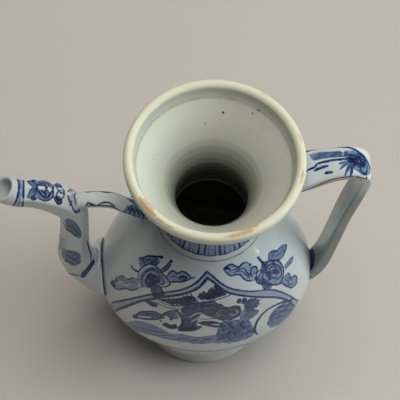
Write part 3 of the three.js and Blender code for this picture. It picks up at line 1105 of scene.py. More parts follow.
@dataclass
class Handle(Strap):
    """The strap handle: out from the mouth, round a sharp corner and down to the belly."""

    neck_start: Spot = (24.5, 156.3)
    corner_x: float = 75.4
    top_height: float = 175.0
    root_height: float = 55.0
    belly_radius: float = 57.5
    mouth_radius: float = 45.0
    throat_radius: float = 18.2
    width: float = 16.4
    neck_width: float = 22.0
    thickness: float = 5.6
    squareness: float = 0.3
    start: float = 7.0
    lower_shade: float = 0.55  # painted shade on the glaze below the corner
    rows: int = 380
    columns: int = 84

    def knots(self) -> list[Spot]:
        """Where the strap's middle line passes.

        Returns:
            Its points, from the mouth to the belly.
        """
        corner = self.top_height - 12
        return [
            self.neck_start,
            (self.throat_radius + 13, self.top_height - 16.4),
            (self.mouth_radius, self.top_height - 10.5),
            (self.corner_x - 15, self.top_height - 3.8),
            (self.corner_x - 6, self.top_height - 3),
            (self.corner_x - 1, self.top_height - 6.8),
            (self.corner_x, self.top_height - 11),
            (self.corner_x - 1.2, corner - 10),
            (self.corner_x - 6, corner - 39),
            (self.corner_x - 9.8, (corner + self.root_height) / 2 - 18),
            (self.belly_radius + 5, self.root_height + 14),
            (self.belly_radius + 1, self.root_height + 2),
            (self.belly_radius - 3, self.root_height - 4),
        ]

    def skin(self) -> Skin:
        """Sweeps the strap.

        Returns:
            The closed skin, with painted shade below the corner.
        """
        skin = super().skin()
        share = np.linspace(0.0, 1.0, skin.rows)
        # painted shade on the strap below the corner
        skin.layers[Layer.DULL][:] = self.lower_shade * skin.grid(smoothstep(share, 0.33, 0.42))
        return skin

    def size(self, share: Points) -> Pair:
        """How wide and how thick the strap is.

        Args:
            share: places along it, from 0 at the mouth to 1 at the belly.

        Returns:
            Its width, most at the mouth and least below the corner, and its thickness.
        """
        spread = (self.neck_width - self.width) * (1 - smoothstep(share, 0.06, 0.26))
        below = smoothstep(share, 0.3, 0.36)
        thickness = self.thickness * (0.5 + 0.5 * smoothstep(share, 0.035, 0.1))
        return self.width + spread - 1.2 * below, thickness


def oval(centre: tuple, right: tuple, up: tuple, start: float, end: float, count: int = 11) -> list:
    """Points on an ellipse.

    Args:
        centre: its centre.
        right: one of its half axes.
        up: the other.
        start: the first point's angle in degrees, from the first half axis.
        end: the last point's.
        count: how many points.

    Returns:
        The points, in order.
    """
    turns = np.radians(np.linspace(start, end, count))[:, None]
    return list(np.array(centre) + np.array(right) * np.cos(turns) + np.array(up) * np.sin(turns))


def sprig(canvas: Canvas, stem: Sequence, leaves: int, length: float, width: float) -> None:
    """Brushes a stem with pairs of leaf dabs.

    Args:
        canvas: what it is painted on.
        stem: the stem's points.
        leaves: how many pairs.
        length: of the first dabs, in millimetres; the others are shorter.
        width: of each dab.
    """
    canvas.line(stem, width * 0.7)
    track = Track(smooth_path(stem, 6, 0.5))
    for i in range(leaves):
        share = (i + 0.6) / leaves
        base = track.at(share * track.length)
        ahead = track.heading(share * track.length)
        aside = np.array([-ahead[1], ahead[0]])
        reach = length * (1.1 - 0.5 * share)
        for side in (-1.0, 1.0):
            tip = base + reach * (0.62 * ahead + side * 0.78 * aside)
            canvas.line([base, (base + tip) / 2 + 0.12 * reach * ahead, tip], width, (0.5, 0.9))


@dataclass
class Garden:
    """The pointed panel on a flattened side, with plants and a rock inside its double line."""

    canvas: Canvas
    band_tone: float = 0.2

    def frame(self) -> None:
        """The double line and the thin wash between."""
        outer_left = [
            (-51, 47), (-50, 59), (-46, 68), (-41, 76.5), (-36, 84.5), (-31, 91.5), (-26, 97),
            (-21, 101.5), (-16, 105), (-12, 108), (-8.5, 111), (-5, 114.5), (-2.5, 116.8),
        ]
        outer_right = [
            (-2.5, 116.8), (0.5, 115), (3, 113), (6, 110.5), (10, 107.6), (15, 104.6), (20, 101.5),
            (24.5, 98.8), (29, 95.8), (33.5, 91), (38, 84), (42, 76.5), (46, 68), (49.5, 59),
        ]
        inner_left = [
            (-49.5, 47), (-47, 59), (-43, 68), (-39, 75.5), (-34.4, 83), (-28.4, 91), (-23.4, 96.4),
            (-18, 100.6), (-13, 104.2), (-9, 107.2), (-6, 109.8), (-3.6, 112.8), (-2.2, 114.2),
        ]
        inner_right = [
            (-2.2, 114.2), (0, 113), (3, 110.5), (6, 107.6), (10, 104.6), (15, 101.4), (20, 97.8),
            (25, 93.6), (30, 88.8), (35, 83.2), (40, 75.8), (44, 68), (47, 59),
        ]
        foot_outer = [
            (-51, 47), (-44, 41), (-32, 38.5), (-16, 38), (0, 38.5), (18, 39.5), (34, 42.5), (45, 49),
            (49.5, 59),
        ]
        foot_inner = [
            (-48, 47), (-41, 44), (-30, 42.5), (-15, 42), (0, 42.5), (17, 43.5), (32, 46), (42, 51),
            (47, 59),
        ]
        for left, right, foot, width in (
            (outer_left, outer_right, foot_outer, 1.15),
            (inner_left, inner_right, foot_inner, 1.55),
        ):
            self.canvas.line(left, width, (0.8, 0.9))
            self.canvas.line(right, width * 0.85, (0.9, 0.8))
            self.canvas.line(foot, width * 0.8, (0.8, 0.8))
        self.canvas.wash(outer_left + inner_left[::-1], self.band_tone * 0.7)
        self.canvas.wash(outer_right + inner_right[::-1], self.band_tone)
        self.canvas.wash(foot_outer + foot_inner[::-1], self.band_tone * 0.7)

    def left_bush(self) -> None:
        """The dense leaves under the panel's left shoulder, and the pale blade below them."""
        brush = self.canvas
        brush.wash([(-27.5, 91.5), (-23, 95), (-17, 99.2), (-11, 103.2), (-7.6, 102.5), (-6.8, 99),
                    (-10, 95.6), (-17, 93.6), (-22, 91.6)], 0.72)
        sprig(brush, [(-23, 92.5), (-19, 95), (-15, 97.5)], 4, 3.0, 0.75)
        sprig(brush, [(-17, 94.5), (-12, 97), (-9, 101)], 4, 3.2, 0.8)
        sprig(brush, [(-15, 98), (-12, 101), (-9.5, 103.5)], 3, 2.6, 0.8)
        sprig(brush, [(-22, 91.6), (-17, 92.6), (-12, 95)], 4, 2.4, 0.7)
        brush.leave([(-12, 98), (-10, 99.4), (-9, 101.6)], 0.5)
        brush.leave([(-16.5, 95.5), (-14, 96), (-12.6, 97.4)], 0.5)
        brush.leave([(-7.8, 98.6), (-7.4, 101), (-8.6, 103.4)], 0.5, True)
        brush.line([(-28, 91.4), (-26, 90.2), (-23, 90), (-19, 91.2), (-15.5, 93)], 0.75)
        brush.line([(-29.5, 89.4), (-27, 88), (-23, 87.4), (-19, 88.4), (-15, 90)], 0.85)
        leaf = [(-34, 83.2), (-32, 83), (-30, 82.4), (-27.2, 85), (-28, 87), (-31, 86.2)]
        brush.wash(leaf, 0.6)
        brush.line([*leaf, leaf[0]], 0.75)
        brush.mass([(-33.6, 83.4), (-31, 83), (-28.4, 84), (-29.5, 85.2)])

    def long_leaf(self) -> None:
        """The long shaded leaf with a dark tip at the left."""
        brush = self.canvas
        top = [(-38.8, 64), (-36, 71), (-32, 75.6), (-28, 78.6), (-25, 78.3), (-23, 76.4)]
        low = [(-38.8, 64), (-35, 66.4), (-31, 69.2), (-27, 72.4), (-23, 76.4)]
        brush.wash(top + low[::-1], 0.5)
        brush.line(top, 1.0)
        brush.line(low, 1.0)
        brush.line([(-33, 72.2), (-29, 75.4), (-26, 76)], 0.8)
        brush.leave([(-36.8, 66.6), (-33.5, 69.4), (-30, 71.8)], 1.1, True)
        brush.mass([(-39.6, 62.4), (-39.2, 66), (-37.4, 67), (-37.4, 63.6)])

    def gourd(self) -> None:
        """The rounded form with pale hollows and the dark rim on its right."""
        brush = self.canvas
        brush.line([(-25.5, 73.5), (-24.2, 78.5), (-22, 83), (-19.5, 86), (-16.8, 87.6)], 1.0)
        brush.wash([(-24.4, 78), (-22, 83), (-19.5, 86), (-16.6, 87.4), (-15, 84), (-16, 79.5),
                    (-19, 77.6), (-22, 78.6)], 0.55)
        brush.line([(-24, 78.4), (-22, 79.4), (-19.6, 78), (-17.2, 79.2)], 0.9)
        brush.dot((-20, 76.6), 0.95)
        brush.dot((-25, 72), 0.8)
        brush.mass([(-24.6, 69), (-22.4, 72.4), (-20, 71.4), (-17.4, 73), (-16.4, 70), (-20, 67.4)])
        brush.line([(-17.6, 88.4), (-15.6, 85), (-14.2, 80), (-14, 74.5), (-16, 69.6)], 1.5)
        brush.leave([(-17.4, 85.4), (-16.4, 82), (-16, 78)], 0.7, True)

    def deep_leaf(self) -> None:
        """The deep blue form in the middle, with pale rays and a dark foot."""
        brush = self.canvas
        brush.wash([(-15.4, 90.5), (-11, 96.4), (-6, 99.6), (-2.6, 98), (-3.4, 92.5), (-5.4, 85.5),
                    (-6.4, 77), (-6.6, 72.4), (-11, 68.6), (-16, 67.6), (-13.6, 77)], 0.66)
        brush.mass([(-16, 67.8), (-13.6, 71.6), (-9.6, 72), (-6.6, 72), (-6.4, 70.4), (-10.4, 68.4)])
        for start, end in (
            ((-13.4, 74), (-11.4, 88)),
            ((-11.4, 74), (-8.6, 92)),
            ((-9, 73.6), (-6.4, 84)),
        ):
            brush.line([start, end], 0.7, (0.9, 0.5))
        for ray in ([(-10.6, 82), (-7.5, 87.2), (-3.4, 90.6)], [(-9.4, 78), (-6.6, 82), (-3.6, 84.6)]):
            brush.leave(ray, 0.9, True)
        brush.line([(-15, 91), (-11, 93), (-7, 95.4), (-3, 96)], 0.8)
        brush.mass([(-11.6, 69.4), (-5, 74.6), (-3.6, 74.2), (-6.6, 70.4)])

    def rock(self) -> None:
        """The jagged rock, dark with pale breaks."""
        brush = self.canvas
        edge = [
            (-4, 99), (-1, 100.6), (1.4, 100.2), (3.5, 98), (5.2, 97.2), (7, 94.4), (10, 93.2),
            (12.5, 93.8), (15, 92), (16, 87), (15.6, 81.6), (13, 79.6), (10.4, 78.8), (6.5, 81),
            (3, 83.4), (-1, 86), (-4, 89), (-4.8, 94.5),
        ]
        brush.wash(edge, 0.62, False)
        brush.line([*edge, edge[0]], 0.8, (1.0, 1.0), False)
        for fold in (
            [(-3.4, 96), (0, 97.4), (3, 95.6), (4, 92.6)],
            [(-3, 92), (0.6, 93.2), (2.8, 91), (3.4, 88)],
            [(-2, 88.6), (1, 89), (4, 86.6), (6.4, 83.4)],
            [(5, 94), (8, 92.4), (9.4, 89.4), (8.6, 86)],
            [(6, 90.6), (7, 88), (9, 84.6), (11, 82.4)],
            [(11, 91.8), (14, 90.8), (15, 87.6), (13.4, 85)],
            [(11.6, 89), (12.4, 86.4), (14.4, 83.6)],
        ):
            brush.line(fold, 1.15, (0.7, 0.6))
        brush.leave([(3.2, 90.4), (3.8, 87), (6, 84.4)], 0.6, True)
        brush.leave([(10.6, 85), (12.6, 83.8), (14.6, 86.6), (13.4, 89.4)], 0.75, True)
        brush.leave([(6.2, 88.4), (7.4, 90.2), (9, 89.4)], 0.5)
        brush.leave([(-2, 94.6), (0, 95.2), (1.2, 93.6)], 0.5)
        brush.line([(-6, 99.4), (1, 101), (4.5, 101.9), (8.5, 103.2), (12, 104.2)], 0.7)

    def berries(self) -> None:
        """The dark leaves and berries under the panel's point."""
        brush = self.canvas
        brush.wash([(-7, 103), (-4, 105.8), (-1, 107.4), (2.4, 109.4), (6, 107), (8, 104.6), (3.6, 103),
                    (-1, 101.4)], 0.74)
        spots = [
            (-5.4, 105), (-4, 106.6), (-2.4, 105.4), (-0.8, 107.8), (0.2, 109), (1.2, 107), (2.2, 110),
            (3.2, 108.4), (4.8, 107.6), (1, 105), (-1, 104.4), (-3.2, 103.8), (3, 105.6), (5.2, 105.6),
            (-6.4, 103.4), (-1.6, 102.6),
        ]
        for i, spot in enumerate(spots):
            brush.dot(spot, 0.85 if i % 3 else 1.1)
        sprig(brush, [(-7, 101.6), (-3, 103), (1, 104)], 4, 2.2, 0.8)

    def flower(self) -> None:
        """The blown flower with two dark petals and scalloped pale ones."""
        brush = self.canvas
        brush.mass([(13.2, 96), (14, 99.2), (15.6, 98.6), (15.4, 94.6)])
        brush.mass([(16, 94), (16.6, 98.4), (18.6, 97), (18, 92.4)])
        brush.wash([(17.4, 91.6), (19.6, 95), (22.4, 94.2), (24.8, 90.4), (24.6, 85.4), (22, 83),
                    (18.6, 86)], 0.66)
        for petal in (
            [(18.8, 94.2), (20.2, 95.4), (21.6, 94.2)],
            [(21.6, 94), (23.2, 94), (24, 91.8)],
            [(24, 91.4), (25.4, 90.4), (25.2, 88.2)],
            [(24.8, 88), (25.6, 86.4), (24.6, 84.6)],
        ):
            brush.line(petal, 0.9, (0.9, 0.9))
        for spike in (
            [(25.2, 90.8), (27.6, 89)],
            [(25.6, 87), (28.2, 85.2)],
            [(24.2, 93.6), (26.4, 92.4)],
        ):
            brush.line(spike, 0.75)
        brush.wash([(15.6, 79.6), (17.6, 87), (21, 84.4), (24.4, 82.4), (25.4, 78), (22.5, 74.6),
                    (17.6, 75.6)], 0.42)
        for fold in (
            [(17.6, 86.6), (20, 84), (19.4, 80), (16.4, 79)],
            [(20.4, 84.4), (23, 82.4), (23, 79), (20.6, 77.4)],
            [(23.4, 82.4), (25.6, 80.2), (25, 77)],
        ):
            brush.pale_line(fold, 0.8, 0.75)

    def grasses(self) -> None:
        """The spindle leaf, the mottled bank, the washes of ground and the curling stem at the right."""
        brush = self.canvas
        brush.mass([(-6.6, 77.6), (-2.5, 79.9), (2, 79.8), (5.5, 77.4), (8.4, 73.8), (4.8, 72.8),
                    (0.6, 73.8), (-3.4, 75.6)])
        brush.leave([(1.4, 76), (4, 75.6), (6.2, 74.4)], 1.2)
        brush.line([(-5.8, 82.2), (-2, 82), (2, 82.6), (6.5, 80), (11, 74), (15.5, 67)], 0.85)
        brush.wash([(4, 67), (6.6, 77.8), (12, 78.4), (20.4, 74.6), (23.2, 67.5), (25, 58), (20.4, 54),
                    (11.4, 57), (5, 61)], 0.5)
        tufts = [
            (7.6, 71), (10.4, 74.6), (13, 70), (16.6, 73), (18.6, 68.4), (9.8, 65), (14.6, 64),
            (20.4, 62.4), (12, 60),
        ]
        for i, (across, height) in enumerate(tufts):
            lean = 1.4 if i % 2 else -1.1
            brush.pale_line([(across, height - 2), (across + lean * 0.4, height),
                             (across + lean, height + 2.4)], 1.1, 0.82)
        bank = [
            (-44, 47), (-40, 58), (-35, 64), (-29.5, 66), (-24, 65), (-20, 63), (-14, 65), (-6.5, 64),
            (1, 65.4), (7, 66), (14, 60), (22, 54), (13, 54), (4, 57), (-4, 56), (-12.5, 57), (-21, 55),
            (-27, 54), (-33.5, 50), (-39, 44),
        ]
        brush.wash(bank, 0.32)
        for start, height in (
            (-40, 54), (-36, 58), (-31, 60), (-25, 60), (-17, 60), (-10, 60), (-4, 61), (3, 60), (9, 58),
        ):
            rise = [(start, height - 2.4), (start + 3, height), (start + 7, height + 1.2)]
            brush.pale_line(rise, 1.2, 0.6)
            rise = [(start + 1, height - 5), (start + 5, height - 3.4), (start + 9, height - 3)]
            brush.pale_line(rise, 0.9, 0.52)
        brush.line([(46, 67.4), (42.6, 70.6), (38.5, 74.4), (34, 76.3), (30, 75.8), (26.5, 71.5),
                    (25, 66.5), (25, 61), (26.8, 55)], 1.7, (0.5, 0.6))
        brush.wash([(31.4, 63), (33, 70), (36, 73), (40, 72), (44.4, 66.5), (47.4, 58.5), (46.4, 54),
                    (42, 50.6), (35, 54)], 0.5)
        for vein in (
            [(33, 64), (37, 63), (43, 57)],
            [(34, 68.6), (38.4, 66.6), (44.6, 61)],
            [(37.6, 71.2), (41, 69.2), (44, 65.4)],
        ):
            brush.pale_line(vein, 1.3, 0.68)

    def paint(self) -> None:
        """Paints the whole panel."""
        self.grasses()
        self.flower()
        self.deep_leaf()
        self.left_bush()
        self.long_leaf()
        self.gourd()
        self.berries()
        self.rock()
        self.frame()


@dataclass
class Emblems:
    """The two beribboned emblems on the shoulder, one each side of the panel's point."""

    canvas: Canvas

    def trefoil(self) -> None:
        """The double-lined pointed knot on its hatched stem, with its tuft and sticks."""
        brush = self.canvas
        brush.line([(-34.8, 93), (-36.8, 95.2), (-36.8, 99.6), (-34, 105), (-31, 108.6), (-28, 110),
                    (-25, 109.4), (-22, 107.8), (-21, 106.4), (-23, 103.6),
                    (-25.5, 101.6)], 0.9, (0.8, 0.8))
        brush.line([(-34, 95), (-35, 97.6), (-34, 101.5), (-32, 105), (-29.6, 107.4), (-27, 107.4),
                    (-24.4, 106), (-24.2, 104.4), (-26, 102.8)], 0.75, (0.8, 0.8))
        brush.mass([(-33, 95.6), (-33.8, 98), (-32.8, 101.8), (-31, 104.8), (-28.6, 106), (-26, 106),
                    (-26.4, 103.6), (-29, 100.4), (-31.2, 96.6)])
        brush.wash([(-34.5, 93.5), (-36.5, 97), (-35, 102), (-32.5, 106), (-30, 108.5), (-27, 110),
                    (-22, 107), (-26, 102), (-30, 97)], 0.24)
        brush.line([(-34.4, 93.6), (-35.8, 96.8), (-34.6, 101.4), (-32.2, 105.4), (-29.8, 107.9),
                    (-27, 108.7), (-24, 107.6)], 0.5)
        brush.leave([(-32.2, 99.6), (-31.2, 101.2), (-30.2, 100.6)], 0.45)
        brush.leave([(-29.6, 103), (-28, 104.4), (-26.8, 104.8)], 0.5)
        brush.wash([(-30.6, 99.4), (-30.6, 95), (-29.6, 92.8), (-24, 96.6), (-25, 101),
                    (-26.6, 102)], 0.6)
        for start, end in (
            ((-30.5, 99), (-30.2, 92.8)),
            ((-28.9, 99.8), (-28.4, 93.6)),
            ((-27.4, 100.6), (-26.6, 94.8)),
        ):
            brush.line([start, end], 0.55, (0.9, 0.9))
        brush.line([(-26, 101.8), (-24.6, 99.4), (-23.9, 96.4)], 0.75)
        brush.mass([(-30.2, 92.4), (-26.4, 95.2), (-23.8, 97), (-23.8, 95.6), (-27, 93), (-29.8, 91.4)])
        brush.line([(-34.4, 104.4), (-35.8, 103.4), (-36.6, 104.6), (-36, 106.2), (-34.8, 107),
                    (-33.9, 106.4), (-34, 105)], 0.75)
        brush.line([(-35.2, 106.6), (-32.6, 110), (-30, 112.2), (-27.2, 114),
                    (-25.4, 115.1)], 1.0, (0.9, 1.0))
        brush.dot((-25, 115.1), 0.75)
        for hair in (
            [(-33, 107.8), (-31.5, 109.9), (-29.5, 111)],
            [(-32, 108), (-30, 110), (-28, 112.4), (-27.5, 113.5)],
            [(-28.5, 110.3), (-27, 112), (-26, 114)],
        ):
            brush.line(hair, 0.6)
        brush.wash([(-36, 103.8), (-36, 106), (-32, 110.4), (-27, 113.8), (-27.6, 110.8), (-31.6, 108.2),
                    (-34, 105)], 0.42)
        brush.line([(-40.6, 98), (-39, 98.3), (-36.6, 100)], 1.15, (1.0, 0.6))
        brush.line([(-26, 109.8), (-23.5, 112.9), (-21, 115.9)], 0.6)
        brush.line([(-24.6, 109.9), (-22.5, 112.4), (-20.4, 115.2)], 0.6)
        brush.wash([(-26, 109.8), (-21, 115.9), (-20.4, 115.2), (-24.6, 109.9)], 0.5, False)
        brush.dot((-20.5, 116.1), 0.85)

    def trefoil_ribbons(self) -> None:
        """The ribbons that wave to both sides of the pointed knot."""
        brush = self.canvas
        upper = [
            (-22.5, 109.2), (-21, 112), (-19, 113.3), (-17.5, 113), (-15.5, 114.4), (-13.5, 114.8),
            (-11.5, 114.1), (-10, 113.2), (-8.4, 114.4),
        ]
        lower = [(-21.6, 106.8), (-18.5, 108.7), (-15.5, 109.9), (-13, 111.5), (-10.6, 113)]
        brush.wash(upper[:-1] + lower[::-1], 0.2)
        brush.wash([(-17, 111.8), (-14.5, 113.3), (-12, 113), (-14, 111.2), (-16.5, 110.3)], 0.6)
        brush.line(upper, 0.85)
        brush.line(lower, 1.0)
        brush.line([(-20.6, 109.8), (-19, 111.1), (-17, 110.9), (-15, 112.6), (-12.5, 113)], 0.55)
        top = [
            (-51.2, 71.6), (-49.2, 77), (-47.6, 81.6), (-46, 85), (-44.5, 87.4), (-43, 88), (-41.5, 90),
            (-40, 93), (-37.6, 95),
        ]
        low = [
            (-51, 71.4), (-49, 72.6), (-47, 75), (-45, 78.6), (-43, 81.8), (-41.4, 83), (-39.4, 85.6),
            (-37.2, 89.6),
        ]
        brush.wash(top + low[::-1], 0.3)
        brush.line(top, 0.85)
        brush.line([*low, (-35.4, 93)], 0.85)
        brush.line([(-49.6, 74), (-48, 79), (-46.4, 81), (-44.8, 85.4), (-42.6, 86), (-40.4, 89.6),
                    (-38.6, 92.6)], 0.55)
        brush.leave([(-48.6, 75.2), (-47, 79.6), (-45.6, 82.4), (-44.4, 82.4), (-42.8, 84.2),
                     (-41.3, 87.6), (-39.8, 90)], 0.8, True)
        brush.mass([(-51.6, 70.8), (-49.8, 76), (-48.5, 76), (-49.6, 72)])

    def discs(self) -> None:
        """The small disc and the large one inside their shared outline."""
        brush = self.canvas
        small, large = (27.4, 105.2), (33, 102.2)
        brush.line(oval(small, (4.2, -3.2), (-0.4, 3.3), 95, 330), 0.85, (0.8, 0.8))
        brush.line(oval(small, (2.7, -2.1), (-0.2, 2.1), 90, 290), 0.6, (0.8, 0.8))
        brush.line(oval((28.5, 104.4), (2.0, -1.5), (0.0, 1.8), 0, 300), 0.8)
        brush.leave(oval((27, 105.5), (1.7, -1.3), (0.0, 1.4), 110, 250, 7), 0.7)
        brush.line(oval(large, (4.4, -4.7), (0.0, 3.9), -70, 250, 17), 0.95, (0.9, 0.9))
        brush.line(oval(large, (3.1, -3.3), (0.0, 2.8), 0, 345, 13), 0.8)
        brush.mass([(30.4, 105), (32.4, 104.6), (35, 102), (35.8, 99.4), (34.4, 99.4), (33, 102),
                    (31, 103)])
        brush.leave([(31.4, 103.4), (33, 104.2), (34.8, 102.2), (34.4, 100.2), (32.8, 100.4),
                     (32.6, 101.8)], 0.6, True)
        brush.line([(27, 109.4), (29.5, 110), (32, 108.4), (35, 105.4), (37.5, 101), (38.6, 97),
                    (38.2, 94), (36.5, 92.6), (34, 94.6)], 0.9, (0.8, 0.8))
        brush.line([(22.5, 108), (23.6, 105), (25.5, 102.6), (27.5, 100.8), (30, 99.2), (32, 96.6),
                    (35, 93), (38.4, 90)], 0.9)
        brush.line([(26.4, 102), (27.4, 99), (29.5, 95.8), (31.5, 94.8), (32.4, 96.4)], 0.75)
        brush.wash([(22.6, 108), (24, 104.6), (27.5, 100.8), (32, 96.6), (38, 91), (38.6, 97),
                    (35, 105.4), (29.5, 110)], 0.3)
        brush.wash([(27.6, 100.6), (28, 98), (29.8, 96), (31.6, 95.6), (32, 97)], 0.6)

    def disc_tuft(self) -> None:
        """The curled leaf and the sticks over the discs."""
        brush = self.canvas
        leaf = [
            (29.5, 111), (30, 112.5), (32, 111.6), (34.5, 109.4), (37, 107.8), (39, 106), (40.2, 104),
            (38, 103.8), (35.5, 105.4), (33.5, 106.8), (31, 109),
        ]
        brush.wash(leaf, 0.42)
        brush.line([*leaf, leaf[0]], 0.75)
        brush.line([(31, 110.6), (32.4, 109.6), (34, 108.2), (36, 106.8), (38.5, 105)], 0.55)
        brush.line([(31.4, 111.4), (33, 110.2), (35, 108.6)], 0.5)
        brush.line([(24, 115.2), (26, 112.6), (28, 109.4)], 1.25, (1.0, 0.7))
        brush.wash([(26, 112.6), (29.6, 110), (28.4, 107), (25.4, 109)], 0.62)
        brush.line([(38.5, 99.2), (40.5, 98.6), (43.2, 97.2)], 0.6)
        brush.line([(39.6, 96.6), (42, 95.6), (44, 94.2)], 0.6)
        brush.wash([(38.6, 99), (43.2, 97), (44, 94.4), (39.6, 96.6)], 0.42, False)
        brush.dot((43.9, 95.8), 0.95)

    def disc_ribbons(self) -> None:
        """The ribbons that wave to both sides of the discs."""
        brush = self.canvas
        upper = [
            (6, 117.4), (8, 118.1), (10, 118.1), (12, 117.1), (14, 116.3), (15.5, 116.8), (17.5, 116.6),
            (19.8, 115.2),
        ]
        lower = [
            (6.2, 116.8), (8, 115.3), (10, 114), (12, 113.9), (14.4, 113.2), (16, 111.2), (18, 109),
            (21, 107.2), (22.8, 106.8),
        ]
        brush.wash(upper + lower[::-1], 0.2)
        brush.line(upper, 0.85)
        brush.line(lower, 0.85)
        brush.line([(9, 116), (12, 116), (14.5, 115.4), (16.5, 115), (18, 113), (20, 110.3),
                    (22, 108.6)], 0.65)
        brush.line([(11, 115), (13.5, 114.9), (16, 113.8), (18, 111.6), (20, 108.9)], 0.55)
        brush.line([(6, 117), (8, 117.2), (9.4, 116.4)], 1.0)
        curl = [
            (21, 110), (20, 112), (21, 113.4), (22.4, 113), (23.6, 111.6), (23.4, 110.2), (22, 110.2),
            (21.5, 111.6),
        ]
        brush.wash(curl, 0.3)
        brush.line(curl, 0.75)
        brush.dot((19.8, 114.9), 0.75)
        tail = [
            (38.6, 93.4), (41, 92.6), (42.6, 89.4), (43.2, 86.8), (45, 85.4), (47, 80.8), (47, 77),
            (44.3, 78.6), (42, 82.6), (39.2, 88.2), (37.3, 92),
        ]
        brush.wash(tail, 0.36)
        brush.line([*tail, tail[0]], 1.0)
        brush.line([(39.6, 91), (41.6, 87), (42.8, 83), (45, 80.8)], 0.7)
        brush.line([(41.4, 90), (43, 86), (44.6, 83.4)], 0.6)

    def paint(self) -> None:
        """Paints both emblems."""
        self.trefoil_ribbons()
        self.trefoil()
        self.disc_ribbons()
        self.discs()
        self.disc_tuft()


@dataclass
class NeckBorder:
    """The border of upright dashes round the foot of the neck."""

    canvas: Canvas
    girth: float = 177.2  # mm round the foot of the neck
    low: float = 122.8
    high: float = 130.4
    stretch: float = 8.0  # mm of the long lines that are pulled at a time
    dashes: int = 58

    def paint(self) -> None:
        """Paints the dashes, the wash behind them and the lines under and over them."""
        half = self.girth / 2
        pitch = self.girth / self.dashes
        under, over = self.low + 0.2, self.high - 0.2
        for start in np.arange(-half, half, self.stretch):
            end = start + self.stretch
            self.canvas.wash([(start, under), (end, under), (end, over), (start, over)], 0.26, False)
            for height in (self.low, self.high):
                self.canvas.line([(start, height), (end, height)], 0.6, (1.0, 1.0))
            self.canvas.pale_line([(start, self.low - 2.5), (end, self.low - 2.5)], 1.3, 0.3)
        for i in range(self.dashes):
            place = -half + (i + 0.5) * pitch + 0.35 * math.sin(i * 2.4)
            width = 0.85 + 0.45 * math.sin(i * 1.7 + 0.6)
            lean = 0.25 * math.sin(i * 3.1)
            dash = [(place, self.low + 0.6), (place + lean, self.high - 0.4)]
            self.canvas.line(dash, width, (0.9, 0.8))


